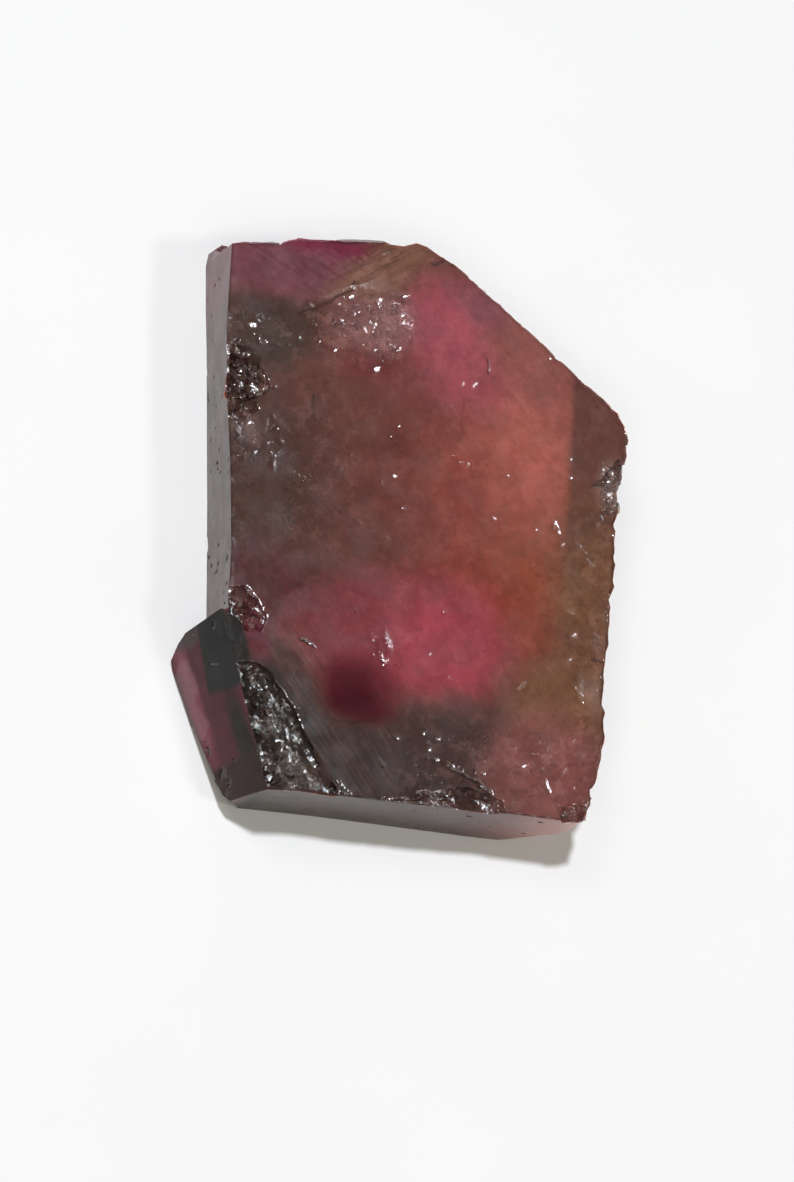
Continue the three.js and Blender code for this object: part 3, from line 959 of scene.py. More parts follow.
class Hue(Enum):
    """The colours that the crystal is zoned in, and the painted light and shade laid over them, as they look
    on a display.
    """

    CLAY = (100, 58, 50)
    DUSKY_PINK = (116, 66, 74)
    MAGENTA = (124, 36, 67)
    GREY_GREEN = (68, 56, 47)
    DARK_BROWN = (70, 48, 42)
    GOLDEN_BROWN = (130, 90, 74)
    GREY_ROSE = (132, 90, 88)
    ROSE = (156, 76, 87)
    MAUVE_ROSE = (130, 74, 82)
    CRIMSON = (116, 48, 52)
    ORANGE = (168, 94, 82)
    SALMON = (142, 71, 60)
    DUSKY_ORANGE = (142, 82, 76)
    DUSTY_ROSE = (136, 80, 76)
    RED_BROWN = (108, 54, 47)
    OLIVE = (70, 47, 37)
    UMBER = (98, 60, 52)
    OCHRE = (116, 78, 54)
    RUST = (138, 68, 44)
    RED = (136, 56, 44)
    PINK = (156, 64, 76)
    DIM_PINK = (124, 52, 60)
    MAUVE = (80, 38, 41)
    WINE_RED = (94, 26, 38)
    WINE = (70, 8, 20)
    SAW_GREY = (62, 43, 38)
    MOSS = (48, 44, 41)
    DULL_GREEN = (60, 51, 45)
    # painted glow of light coming through the thin spur
    FACET_PINK = (120, 62, 74)
    FACET_WINE = (84, 48, 54)
    FACET_FOOT = (58, 44, 41)
    ASH = (76, 66, 66)
    SLATE = (47, 46, 45)
    SOOT = (30, 27, 25)
    # the painted glow's paler end
    FACET_GLOW = (130, 80, 88)
    # pale crystal in the strip and the pale patch, and a painted highlight on the right rim's and edge's
    # chips
    PEARL = (196, 172, 164)
    # painted light on the front wall's foot
    PALE_ROSE = (204, 154, 147)
    MILK = (176, 142, 136)
    INCLUSION = (40, 30, 28)
    FIBRE = (92, 32, 52)
    # painted light on the ridge's streaks; the next hue is their painted shade
    GOLD = (158, 118, 88)
    RIDGE_SHADE = (76, 52, 44)
    # painted sheen along the saw marks
    PAINTED_SAW_SHEEN = (118, 98, 92)
    # painted shade in the saw grooves
    PAINTED_GROOVE_SHADE = (38, 30, 30)
    # painted shade in the top's pits
    HOLLOW = (34, 24, 22)
    # painted highlight on the flecks
    GLINT = (206, 180, 172)
    CRACK = (34, 26, 24)
    # painted shade along the top's edge line
    RIM = (40, 26, 27)

    def light(self) -> Triple:
        """The colour as light."""
        return from_display(*self.value)


class Form(Enum):
    """The outline that a zone has on the plan."""

    OVAL = "oval"
    BLOCK = "block"


@dataclass(frozen=True)
class Zone:
    """One zone of colour, running down through the stone.

    Attributes:
        name: What the zone is.
        hue: Its colour.
        at: Its middle on the plan.
        half: Half extents before turning.
        turn: Degrees that its long way is turned from +x.
        edge: Width of its fading edge, as a share of its half extents.
        strength: How much of its colour shows at its middle.
        form: Its outline.
        crisp: Whether its edge stays nearly straight, rather than wandering.
    """

    name: str
    hue: Hue
    at: Plan
    half: Plan
    turn: float = 0.0
    edge: float = 0.5
    strength: float = 1.0
    form: Form = Form.OVAL
    crisp: bool = False


ZONES = (
    Zone("left side", Hue.OLIVE, (-7.0, 1.2), (3.2, 4.2), 0, 0.6, 0.85),
    Zone("left side below", Hue.MAUVE, (-6.6, -3.6), (3.2, 1.9), 0, 0.6, 0.7),
    Zone("left middle", Hue.UMBER, (-3.6, 4.6), (1.6, 2.2), 0, 0.8, 0.7),
    Zone("middle", Hue.RED_BROWN, (0.6, 2.2), (3.4, 4.8), 0, 0.8, 0.7),
    Zone("salmon", Hue.SALMON, (3.0, 0.8), (2.4, 4.8), 0, 0.9, 0.85),
    Zone("orange", Hue.ORANGE, (5.3, 4.3), (1.9, 3.0), 0, 0.9, 0.95),
    Zone("orange below", Hue.ORANGE, (5.7, 0.6), (1.8, 3.2), 0, 0.7, 0.6),
    Zone("seam in the orange", Hue.SALMON, (4.5, 1.5), (0.6, 1.7), 0, 0.8, 0.7),
    Zone("rust", Hue.RUST, (5.2, -3.2), (2.0, 2.6), 0, 0.8, 0.9),
    Zone("slanting side", Hue.DUSKY_ORANGE, (4.9, 7.7), (5.0, 1.6), -41, 0.8, 0.8),
    Zone("right rim", Hue.UMBER, (9.15, -0.2), (2.15, 7.5), -3, 0.1, 0.95, Form.BLOCK, True),
    Zone("right rim below", Hue.OCHRE, (8.2, -3.6), (2.1, 4.6), 0, 0.6, 0.9),
    Zone("rose", Hue.ROSE, (1.6, 8.6), (2.0, 2.0), 0, 0.5, 0.95),
    Zone("rose lower", Hue.ROSE, (2.4, 6.4), (1.8, 1.4), -30, 0.9, 0.8),
    Zone("mauve by the slanting edge", Hue.MAUVE_ROSE, (3.3, 9.6), (1.3, 0.7), -41, 0.6, 0.8),
    Zone("crimson", Hue.CRIMSON, (-1.2, 6.2), (1.8, 0.8), -15, 0.9, 0.7),
    Zone("fan", Hue.GREY_ROSE, (-1.6, 8.5), (1.9, 1.4), 0, 0.5, 0.85),
    Zone("grey green", Hue.GREY_GREEN, (-6.2, 7.6), (2.0, 1.6), 0, 0.5, 0.8),
    Zone("dark band", Hue.DARK_BROWN, (-6.0, 8.9), (2.0, 0.5), 0, 0.6, 0.7),
    Zone("pink corner", Hue.DUSKY_PINK, (-5.6, 11.2), (3.0, 1.7), 0, 0.35, 1.0, Form.BLOCK),
    Zone("magenta edge", Hue.MAGENTA, (-3.6, 11.7), (1.9, 0.5), -8, 0.7, 0.9),
    Zone("golden slope", Hue.GOLDEN_BROWN, (-1.0, 10.9), (2.5, 0.9), 26, 0.4, 0.9),
    Zone("red", Hue.RED, (2.6, -3.9), (2.6, 1.7), -15, 0.8, 0.9),
    Zone("pink", Hue.DIM_PINK, (-0.7, -5.1), (4.3, 2.6), 0, 0.35, 0.9),
    Zone("bright pink", Hue.PINK, (1.5, -5.7), (2.7, 2.3), -25, 0.6, 0.95),
    Zone("brown below", Hue.DARK_BROWN, (1.2, -10.9), (5.0, 2.1), 0, 0.3, 0.9),
    Zone("saw grey", Hue.SAW_GREY, (-2.6, -11.0), (4.0, 2.0), -8, 0.4, 0.9),
    Zone("ochre below", Hue.OCHRE, (6.6, -7.9), (2.6, 1.6), 0, 0.6, 0.9),
    Zone("brown, right of the pink", Hue.DARK_BROWN, (3.2, -8.6), (1.6, 0.8), -10, 0.6, 0.6),
    Zone("dusty rose below", Hue.DUSTY_ROSE, (5.9, -10.7), (2.5, 2.3), 0, 0.5, 0.8),
    Zone("dull, below the pink", Hue.DARK_BROWN, (0.2, -9.1), (2.0, 0.7), 0, 0.7, 0.8),
    Zone("saw grey, left of the wine spot", Hue.SAW_GREY, (-4.9, -8.1), (2.4, 0.8), -57, 0.6, 0.8),
    Zone("wine red, round the wine spot", Hue.WINE_RED, (-2.2, -7.7), (1.75, 1.2), -20, 0.4, 0.8),
    Zone("wine spot, behind", Hue.WINE, (-2.55, -7.75), (0.95, 0.8), -30, 0.5, 0.6),
    Zone("wine spot", Hue.WINE, (-2.3, -8.35), (1.3, 0.75), -8, 0.45, 0.8),
    Zone("maroon", Hue.WINE_RED, (-6.55, -5.9), (0.5, 1.15), 15, 0.3, 0.9, crisp=True),
    Zone("broken strip", Hue.DULL_GREEN, (-5.9, -10.0), (1.5, 3.4), 20, 0.3, 0.95),
    Zone("ridge of the spur", Hue.SOOT, (-6.75, -9.2), (0.35, 3.6), 14, 0.4, 1.0),
    Zone("ridge of the spur, at the back", Hue.SOOT, (-7.45, -5.9), (0.42, 1.5), 15, 0.35, 1.0, crisp=True),
    Zone("cavity", Hue.DARK_BROWN, (-7.3, 5.6), (0.9, 1.2), 0, 0.4, 0.9),
    Zone("pearly, in the strip", Hue.PEARL, (-5.95, -9.45), (0.4, 0.4), -20, 0.8, 0.3),
    Zone("pearly, low in the strip", Hue.PEARL, (-4.6, -11.3), (0.9, 0.5), -15, 0.9, 0.22),
    Zone("dark crystals, high in the strip", Hue.SOOT, (-6.4, -8.4), (0.6, 1.2), 15, 0.7, 0.8),
    Zone("dark crystals, low in the strip", Hue.SOOT, (-6.2, -11.1), (0.7, 1.0), 20, 0.6, 0.85),
    # painted highlights: pale spots where the chips of the right rim and edge glint
    Zone("pearly, low on the right rim", Hue.PEARL, (8.2, -7.4), (0.5, 0.8), 0, 0.8, 0.15),
    Zone("pearly, on the right edge", Hue.PEARL, (9.0, 1.9), (0.5, 0.9), 0, 0.8, 0.3),
    Zone("pearly, on the pale patch", Hue.PEARL, (-6.9, 3.4), (0.6, 0.6), 0, 0.8, 0.12),
)

CLEAR_OF_SAW_MARKS = Zone("clear of saw marks", Hue.WINE, (-2.1, -7.8), (1.9, 1.7), 0, 0.3, 1.0)
# painted light: the front wall's foot is painted pale rose for light coming through the stone
WALL_GLOW = Zone("lit foot of the front wall", Hue.PALE_ROSE, (8.4, -13.0), (2.6, 3.0), 0, 0.7, 0.8)
SPUR_ZONES = (
    # painted light: the streak and its pale end paint the glow of light coming through the thin spur
    Zone("pink streak", Hue.FACET_PINK, (3.0, 4.0), (3.0, 0.62), -7, 0.45, 1.0),
    Zone("pale end of the streak", Hue.FACET_GLOW, (1.9, 4.05), (1.4, 0.4), -3, 0.8, 0.6),
    Zone("dark side", Hue.MOSS, (6.0, 0.75), (2.6, 0.75), -8, 0.45, 1.0),
    Zone("ash corner", Hue.ASH, (0.35, 3.2), (0.45, 1.3), 0, 0.5, 1.0),
    Zone("green block", Hue.SLATE, (1.5, 1.0), (1.75, 1.45), 8, 0.1, 1.0, Form.BLOCK, True),
    Zone("foot", Hue.FACET_FOOT, (7.3, 2.6), (1.2, 2.6), 0, 0.15, 0.95, Form.BLOCK, True),
    # painted reflection: a grey band along the slanting face's lower edge stands in for the floor mirrored
    # there
    Zone("dull lower rim", Hue.ASH, (3.6, 4.98), (3.4, 0.12), -7, 0.6, 0.8, Form.BLOCK, True),
)
SPUR_NICKS = (
    Fleck((0.45, 0.9), 0.14), Fleck((1.9, 1.85), 0.15), Fleck((5.1, 3.95), 0.26),
    Fleck((6.35, 3.3), 0.3), Fleck((6.9, 2.9), 0.18), Fleck((7.1, 3.4), 0.14),
    Fleck((0.25, 2.65), 0.1), Fleck((6.1, 2.05), 0.12),
)


@dataclass(frozen=True)
class Strokes:
    """Streaks of another colour, or of painted light or shade, all running one way inside a zone.

    Attributes:
        zone: Where they show, in which colour and how strongly.
        heading: Degrees from +x that they run.
        pitch: Typical distance between them in millimetres.
        start: Where in their noise they begin to show.
        full: Where they show fully.
        length: Their typical length in millimetres.
    """

    zone: Zone
    heading: float
    pitch: float
    start: float
    full: float
    length: float = 3.0


@dataclass(frozen=True)
class Spots:
    """Noise turned into soft spots.

    Attributes:
        size: The spots' size in millimetres.
        detail: How many finer layers they have.
        rough: How strong the finer layers are.
        start: Where in the noise a spot begins.
        full: Where it is full.
        outside: The number between the spots.
        inside: The number in them.
    """

    size: float
    detail: float
    rough: float
    start: float
    full: float
    outside: float
    inside: float


CLOUDS = Spots(1.1, 6.0, 0.62, 0.3, 0.7, 0.85, 1.15)
VEILS = Spots(0.6, 6.0, 0.65, 0.5, 0.62, 0.0, 0.6)
INCLUSIONS = Spots(0.3, 5.0, 0.6, 0.36, 0.46, 0.5, 0.0)
SATIN = Spots(1.3, 4.0, 0.5, 0.35, 0.65, 0.15, 0.22)
CLEAVAGE = Spots(0.35, 2.0, 0.5, 0.55, 0.65, 0.04, 0.6)
BOARD_TONE = Spots(14.0, 3.0, 0.5, 0.3, 0.7, 0.985, 1.0)
PAINTED_SAW_SHEEN = (0.52, 0.64, 0.0, 0.15)  # how the saw marks' noise turns into painted sheen
PAINTED_GROOVE_SHADE = (0.48, 0.38, 0.0, 0.55)  # and into painted shade in the grooves
WANDERING = ((2.6, 1.5), (0.8, 0.5), (0.2, 0.14))  # how zone edges wander: lumps and reaches in millimetres
CRISP = 0.12  # the share of that wandering that crisp edges take
MARKS = ("sawn", "broken", "side", "depth", "rim", "fleck", "groove", "line")
ON_RIDGE = ((-0.9, 11.2), (2.4, 0.9), 28, 0.8)
STROKES = (
    Strokes(Zone("fibres", Hue.FIBRE, (-4.8, 11.3), (2.8, 1.5), -14, 0.7, 0.45), -28.0, 0.28, 0.48, 0.64),
    # painted light and painted shade: the ridge's streaks are painted lit gold where their noise is high and
    # shaded where it is low
    Strokes(Zone("gold on the ridge", Hue.GOLD, *ON_RIDGE, 0.3), 33.0, 0.25, 0.5, 0.66),
    Strokes(Zone("shade on the ridge", Hue.RIDGE_SHADE, *ON_RIDGE, 0.4), 33.0, 0.25, 0.5, 0.36),
)
LINE_TINTS = (("line", Hue.CRACK, 0.8),)
# the marks' tints: painted shade in the pits and along the top's edge line, a painted highlight on the
# flecks, and dark cracks along the lines
MARK_TINTS = (("depth", Hue.HOLLOW, 0.6), ("fleck", Hue.GLINT, 0.3), *LINE_TINTS, ("rim", Hue.RIM, 0.5))


# ---- the finish --------------------------------------------------------------------------------------------
Socket = bpy.types.NodeSocket
Number = float | Socket
Inputs = dict[str | int, object]


class NodeSheet:
    """A short way to write one material's nodes."""

    def __init__(self, name: str) -> None:
        """Makes an empty material.

        Args:
            name: The material's name.
        """
        self.material = bpy.data.materials.new(name)
        self.material.use_nodes = True
        self.tree = self.material.node_tree
        self.tree.nodes.clear()

    def add(self, kind: str, inputs: Inputs | None = None, **settings: object) -> bpy.types.Node:
        """Adds a node.

        Args:
            kind: The node's type, without its ShaderNode prefix.
            inputs: Numbers, colours or sockets for its inputs.
            settings: Its own settings.

        Returns:
            The new node.
        """
        node = self.tree.nodes.new("ShaderNode" + kind)
        for name, value in settings.items():
            setattr(node, name, value)
        for key, value in (inputs or {}).items():
            if isinstance(value, Socket):
                self.tree.links.new(value, node.inputs[key])
            else:
                node.inputs[key].default_value = value
        return node

    def math(self, operation: str, *values: Number, clamp: bool = False) -> Socket:
        """The result of a sum on numbers or sockets."""
        inputs = dict(enumerate(values))
        return self.add("Math", inputs, operation=operation, use_clamp=clamp).outputs[0]

    def times(self, first: Number, second: Number) -> Socket:
        """One number times another."""
        return self.math("MULTIPLY", first, second)

    def line(self, value: Number, slope: Number, start: Number) -> Socket:
        """A number times a slope, with a start added."""
        return self.math("MULTIPLY_ADD", value, slope, start)

    def rest(self, share: Socket) -> Socket:
        """What a share leaves of 1."""
        return self.math("SUBTRACT", 1.0, share)

    def at_least(self, least: float, share: Socket) -> Socket:
        """A share that starts at the least one, not at 0, and still ends at 1."""
        return self.line(share, 1.0 - least, least)

    def vector(self, operation: str, *values: object) -> Socket:
        """The result of a sum on directions or places."""
        node = self.add("VectorMath", dict(enumerate(values)), operation=operation)
        return node.outputs["Value" if operation in ("LENGTH", "DOT_PRODUCT") else "Vector"]

    def mix(self, share: Number, first: object, second: object, blend: str = "MIX") -> Socket:
        """A colour between two colours.

        Args:
            share: How much of the second colour shows.
            first: The first colour.
            second: The second colour.
            blend: How the second is laid over the first.

        Returns:
            The colour's socket.
        """
        node = self.add("Mix", data_type="RGBA", blend_type=blend)
        for key, value in ((0, share), (6, first), (7, second)):
            if isinstance(value, Socket):
                self.tree.links.new(value, node.inputs[key])
            else:
                node.inputs[key].default_value = value if key == 0 else (*value, 1.0)
        return node.outputs[2]

    def ramp(self, value: Socket, low: float, high: float, start: float = 0.0, end: float = 1.0) -> Socket:
        """Goes smoothly from start at low to end at high."""
        inputs = {"Value": value, 1: low, 2: high, 3: start, 4: end}
        return self.add("MapRange", inputs, interpolation_type="SMOOTHSTEP").outputs[0]

    def noise(self, place: Socket, size: float, detail: float, rough: float = 0.5, out: int = 0) -> Socket:
        """A noise with lumps of the given size in millimetres."""
        inputs = {"Vector": place, "Scale": 1.0 / size, "Detail": detail, "Roughness": rough}
        return self.add("TexNoise", inputs).outputs[out]

    def spots(self, place: Socket, spots: Spots) -> Socket:
        """How much of some spots shows at a place."""
        lumps = self.noise(place, spots.size, spots.detail, spots.rough)
        return self.ramp(lumps, spots.start, spots.full, spots.outside, spots.inside)

    def scaled(self, way: object, share: Socket) -> Socket:
        """A direction made as long as a share of itself."""
        return self.add("VectorMath", {0: way, "Scale": share}, operation="SCALE").outputs[0]

    def turned(self, place: Socket, at: Triple, heading: float, scale: Triple) -> Socket:
        """The place, as told from a frame that is set at a point, turned and scaled.

        Args:
            place: The place.
            at: Where the frame is set.
            heading: Degrees from +x that it is turned.
            scale: Its unit lengths.

        Returns:
            The place in that frame.
        """
        turn = (0.0, 0.0, math.radians(heading))
        inputs = {"Vector": place, "Location": at, "Rotation": turn, "Scale": scale}
        return self.add("Mapping", inputs, vector_type="TEXTURE").outputs[0]

    def streaks(self, place: Socket, heading: float, pitch: float, length: float) -> Socket:
        """A noise drawn out along a heading on the plan.

        Args:
            place: The drawing place.
            heading: Degrees from +x.
            pitch: Typical distance between streaks in millimetres.
            length: Typical length of a streak in millimetres.

        Returns:
            The noise's socket.
        """
        local = self.turned(place, (0.0, 0.0, 0.0), heading, (length, pitch, 1.0))
        return self.noise(local, 1.0, 4.0, 0.65)

    def laid(self, colour: object, tints: Iterable[tuple[Socket, Hue]]) -> Socket:
        """A colour with tints laid over it.

        Args:
            colour: The first colour.
            tints: How much shows of each tint, and its hue, in the order that they are laid.

        Returns:
            The colour's socket.
        """
        for share, hue in tints:
            colour = self.mix(share, colour, hue.light())
        return colour

    def grey(self, value: Socket) -> Socket:
        """A grey as bright as the value."""
        return self.add("CombineColor", {0: value, 1: value, 2: value}).outputs[0]

    def mark(self, name: str) -> Socket:
        """A number stored with the mesh."""
        return self.add("Attribute", attribute_name=name).outputs["Fac"]

    def drawing_place(self) -> Socket:
        """The drawing place in millimetres of the point being shaded."""
        own = self.add("TexCoord").outputs["Object"]
        return self.vector("MULTIPLY_ADD", own, (1 / MM,) * 3, DRAWING_MIDDLE)

    def finish(self, shader: bpy.types.Node) -> bpy.types.Material:
        """Joins the shader to the material's output.

        Args:
            shader: The shader's node.

        Returns:
            The finished material.
        """
        output = self.add("OutputMaterial")
        self.tree.links.new(shader.outputs[0], output.inputs["Surface"])
        return self.material


@dataclass(frozen=True)
class CrystalFinish:
    """Zoned, translucent, glassy crystal with saw marks on the top.

    Attributes:
        name: The material's name.
        refraction: Index of refraction of tourmaline.
        bleed: How far light spreads under the surface, in millimetres.
        spread: Shares of that for red, green and blue light.
        wander: Share of the wandering that the top's soft zones take.
        spur_wander: Share that the slanting face's soft zones take.
        saw_pitch: Distance between fine saw marks in millimetres.
        saw_length: Their length in millimetres.
        saw_depth: Their depth in millimetres.
        groove_depth: What is added to it where they are deepest.
        grain: Size of the grain in millimetres.
        sawn_grain: Its depth where the stone is sawn, in millimetres.
        broken_grain: What is added to it where the stone is broken.
        saw_haze: Roughness added by the saw marks.
        side_haze: Roughness added on the sawn sides.
        broken_gloss: Share of the roughness that a broken place lacks.
        clear_gloss: Share that the place clear of saw marks lacks.
        spur_roughness: Roughness of the flat slanting face.
        veil_lift: How many times brighter a milky veil is than the crystal under it.
        veil_milk: Share of milk white in a veil.
        unbroken_share: Share of the veils and inclusions that shows where nothing is broken.
        ungrooved_share: Share of the saw marks' painted sheen and painted shade that shows where they are
            faint.
        spur: The flat slanting face, which has zones of its own.
    """

    name: str = "zoned crystal"
    refraction: float = 1.63
    bleed: float = 0.3
    spread: Triple = (1.0, 0.5, 0.45)
    wander: float = 0.7
    spur_wander: float = 0.4
    saw_pitch: float = 0.13
    saw_length: float = 3.5
    saw_depth: float = 0.0015
    groove_depth: float = 0.002
    grain: float = 0.12
    sawn_grain: float = 0.004
    broken_grain: float = 0.018
    saw_haze: float = 0.04
    side_haze: float = 0.22
    broken_gloss: float = 0.35
    clear_gloss: float = 0.4
    spur_roughness: float = 0.12
    veil_lift: float = 1.9
    veil_milk: float = 0.3
    unbroken_share: float = 0.2
    ungrooved_share: float = 0.15
    spur: SpurFace = SpurFace()

    def make(self) -> bpy.types.Material:
        """Builds the material.

        Returns:
            The material.
        """
        sheet = CrystalSheet(self)
        inputs = {
            "Base Color": sheet.colour(),
            "Roughness": sheet.roughness(),
            "IOR": self.refraction,
            "Normal": sheet.bumps(),
            "Subsurface Weight": 1.0,
            "Subsurface Radius": self.spread,
            "Subsurface Scale": self.bleed * MM,
        }
        return sheet.finish(sheet.add("BsdfPrincipled", inputs))


class CrystalSheet(NodeSheet):
    """The crystal's nodes: its colour, its roughness and its finest relief."""

    def __init__(self, crystal: CrystalFinish) -> None:
        """Reads the place, the marks stored with the mesh, and where the slanting face is.

        Args:
            crystal: The crystal's measures.
        """
        super().__init__(crystal.name)
        self.crystal = crystal
        self.place = self.drawing_place()
        self.on_spur = self.ramp(self.reach(crystal.spur.inward()), 0.05, 0.1, 1.0, 0.0)
        self.off_spur = self.rest(self.on_spur)
        self.cloud = self.grey(self.spots(self.place, CLOUDS))
        marks = {name: self.mark(name) for name in MARKS}
        streaks = self.streaks(self.place, SAW_HEADING, crystal.saw_pitch, crystal.saw_length)
        marks["streaks"] = self.times(streaks, marks["sawn"])
        marks["clear"] = self.zone_share(self.place, CLEAR_OF_SAW_MARKS)
        marks["groove"] = self.math("SUBTRACT", marks["groove"], marks["clear"], clamp=True)
        self.marks = marks

    def reach(self, way: Triple) -> Socket:
        """How far the place is from the slanting face's upper corner in a direction, in millimetres."""
        return self.math("ADD", self.vector("DOT_PRODUCT", self.place, way), self.crystal.spur.start(way))

    def warped(self, place: Socket, share: float) -> Socket:
        """The place, pushed about by slow and quick noise, so that zone edges wander.

        Args:
            place: The place.
            share: How much of the wandering it takes.

        Returns:
            The pushed place.
        """
        pushed = place
        for size, reach in WANDERING:
            reach *= share
            lumps = self.noise(place, size, 2.0, out=1)
            shift = self.vector("MULTIPLY_ADD", lumps, (reach,) * 3, (-reach / 2,) * 3)
            pushed = self.vector("ADD", pushed, shift)
        return pushed

    def zone_share(self, place: Socket, zone: Zone) -> Socket:
        """How much of a zone's colour shows.

        Args:
            place: The drawing place, or the warped one.
            zone: The zone.

        Returns:
            The zone's strength inside it and 0 outside.
        """
        local = self.turned(place, (*zone.at, 0.0), zone.turn, (*zone.half, ANY_HEIGHT))
        if zone.form is Form.OVAL:
            reach = self.vector("LENGTH", local)
        else:
            parts = self.add("SeparateXYZ", {0: self.vector("ABSOLUTE", local)})
            reach = self.math("MAXIMUM", parts.outputs[0], parts.outputs[1])
        return self.ramp(reach, 1.0 - zone.edge, 1.0 + zone.edge, zone.strength, 0.0)

    def zoned(self, place: Socket, start: Hue, zones: tuple[Zone, ...], wander: float) -> Socket:
        """The zones' colours laid over a first colour, one after another, and clouded.

        Args:
            place: The drawing place, or a place on the slanting face.
            start: The first colour.
            zones: The zones.
            wander: Share of the wandering that the soft zones take.

        Returns:
            The colour's socket.
        """
        loose, tight = self.warped(place, wander), self.warped(place, CRISP)
        tints = ((self.zone_share(tight if zone.crisp else loose, zone), zone.hue) for zone in zones)
        return self.mix(1.0, self.laid(start.light(), tints), self.cloud, "MULTIPLY")

    def stroke_share(self, strokes: Strokes) -> Socket:
        """How much of some strokes' colour shows.

        Args:
            strokes: The strokes.

        Returns:
            0 to the strength of their zone.
        """
        streaks = self.streaks(self.place, strokes.heading, strokes.pitch, strokes.length)
        shown = self.ramp(streaks, strokes.start, strokes.full)
        return self.times(shown, self.zone_share(self.place, strokes.zone))

    def colour(self) -> Socket:
        """The crystal's colour: its zones, veiled, streaked and darkened in its lines, with painted shade in
        its pits and painted light and shade laid over it.

        Returns:
            The base colour's socket.
        """
        crystal, marks, place = self.crystal, self.marks, self.place
        colour = self.zoned(place, Hue.CLAY, ZONES, crystal.wander)
        lifted = self.mix(1.0, colour, (crystal.veil_lift,) * 3, "MULTIPLY")
        milky = self.mix(crystal.veil_milk, lifted, Hue.MILK.light())
        if_broken = self.at_least(crystal.unbroken_share, marks["broken"])
        veil = self.times(self.times(self.spots(place, VEILS), if_broken), self.rest(marks["clear"]))
        colour = self.mix(veil, colour, milky)
        if_sawn = self.at_least(crystal.ungrooved_share, marks["groove"])
        upright = self.add("SeparateXYZ", {0: self.add("NewGeometry").outputs["Normal"]}).outputs[2]
        on_wall = self.ramp(upright, 0.3, 0.6, 1.0, 0.0)
        tints = [(self.times(self.spots(place, INCLUSIONS), if_broken), Hue.INCLUSION)]
        tints += [(self.stroke_share(strokes), strokes.zone.hue) for strokes in STROKES]
        # painted sheen on the saw streaks, and painted shade in the grooves between them
        for ramp, hue in ((PAINTED_SAW_SHEEN, Hue.PAINTED_SAW_SHEEN), (PAINTED_GROOVE_SHADE, Hue.PAINTED_GROOVE_SHADE)):
            tints.append((self.times(self.ramp(marks["streaks"], *ramp), if_sawn), hue))
        tints += [(self.times(marks[name], share), hue) for name, hue, share in MARK_TINTS]
        tints.append((self.times(self.zone_share(place, WALL_GLOW), on_wall), WALL_GLOW.hue))
        ways = (crystal.spur.along(), crystal.spur.down())
        face = self.add("CombineXYZ", {number: self.reach(way) for number, way in enumerate(ways)}).outputs[0]
        faced = self.zoned(face, Hue.FACET_WINE, SPUR_ZONES, crystal.spur_wander)
        faced = self.laid(faced, [(self.times(marks[name], share), hue) for name, hue, share in LINE_TINTS])
        return self.mix(self.on_spur, self.laid(colour, tints), faced)

    def roughness(self) -> Socket:
        """Satin where sawn, glassy where broken or clear of saw marks, smooth on the slanting face.

        Returns:
            The roughness socket.
        """
        crystal, marks = self.crystal, self.marks
        sawn = self.times(marks["streaks"], marks["groove"])
        rough = self.line(sawn, crystal.saw_haze, self.spots(self.place, SATIN))
        rough = self.times(rough, self.line(marks["broken"], -crystal.broken_gloss, 1.0))
        rough = self.times(rough, self.line(marks["clear"], -crystal.clear_gloss, 1.0))
        rough = self.line(marks["side"], crystal.side_haze, rough)
        return self.line(self.on_spur, crystal.spur_roughness, self.times(rough, self.off_spur))

    def bumps(self) -> Socket:
        """The finest relief: saw marks, the grain of broken places and tiny glinting cleavage faces.

        Returns:
            The normal socket.
        """
        crystal, marks = self.crystal, self.marks
        grain = self.noise(self.place, crystal.grain, 4.0, 0.6)
        depth = self.line(marks["groove"], crystal.groove_depth, crystal.saw_depth)
        grain_depth = self.line(marks["broken"], crystal.broken_grain, crystal.sawn_grain)
        height = self.line(grain, grain_depth, self.times(marks["streaks"], depth))
        height = self.times(height, self.off_spur)
        normal = self.add("Bump", {"Strength": 1.0, "Distance": MM, "Height": height}).outputs[0]
        strokes = self.turned(self.place, (0.0, 0.0, 0.0), CLEAVAGE_HEADING, CLEAVAGE_SIZE)
        cells = self.add("TexVoronoi", {"Vector": strokes, "Scale": 1.0}).outputs["Color"]
        tilt = self.vector("SUBTRACT", cells, (0.5, 0.5, 0.5))
        some = self.times(self.times(marks["broken"], self.spots(self.place, CLEAVAGE)), self.off_spur)
        leans = ((tilt, some), (FLECK_LEAN, marks["fleck"]), (crystal.spur.lifted(), self.on_spur))
        for way, share in leans:
            normal = self.vector("ADD", normal, self.scaled(way, share))
        return self.vector("NORMALIZE", normal)


@dataclass(frozen=True)
class FloorFinish:
    """Plain pale board."""

    name: str = "pale board"
    whiteness: float = 0.83
    warmth: Triple = (1.0, 0.995, 0.985)
    roughness: float = 0.8
    shine: float = 0.2

    def make(self) -> bpy.types.Material:
        """Builds the material.

        Returns:
            The material.
        """
        sheet = NodeSheet(self.name)
        tone = sheet.grey(sheet.spots(sheet.drawing_place(), BOARD_TONE))
        white = tuple(self.whiteness * share for share in self.warmth)
        colour = sheet.mix(1.0, tone, white, "MULTIPLY")
        inputs = {"Base Color": colour, "Roughness": self.roughness, "Specular IOR Level": self.shine}
        return sheet.finish(sheet.add("BsdfPrincipled", inputs))


# ---- the stone and its stage -------------------------------------------------------------------------------
@dataclass
class Stone:
    """The whole stone, one piece of crystal."""

    skin: Skin
    finish: CrystalFinish

    def make(self) -> bpy.types.Object:
        """Builds the stone and ties it to the frame.

        Returns:
            The stone's one piece.
        """
        piece = self.skin.build(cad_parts[NODE])
        piece.data.materials.append(self.finish.make())
        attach(piece, "root")
        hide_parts(NODE)
        return piece


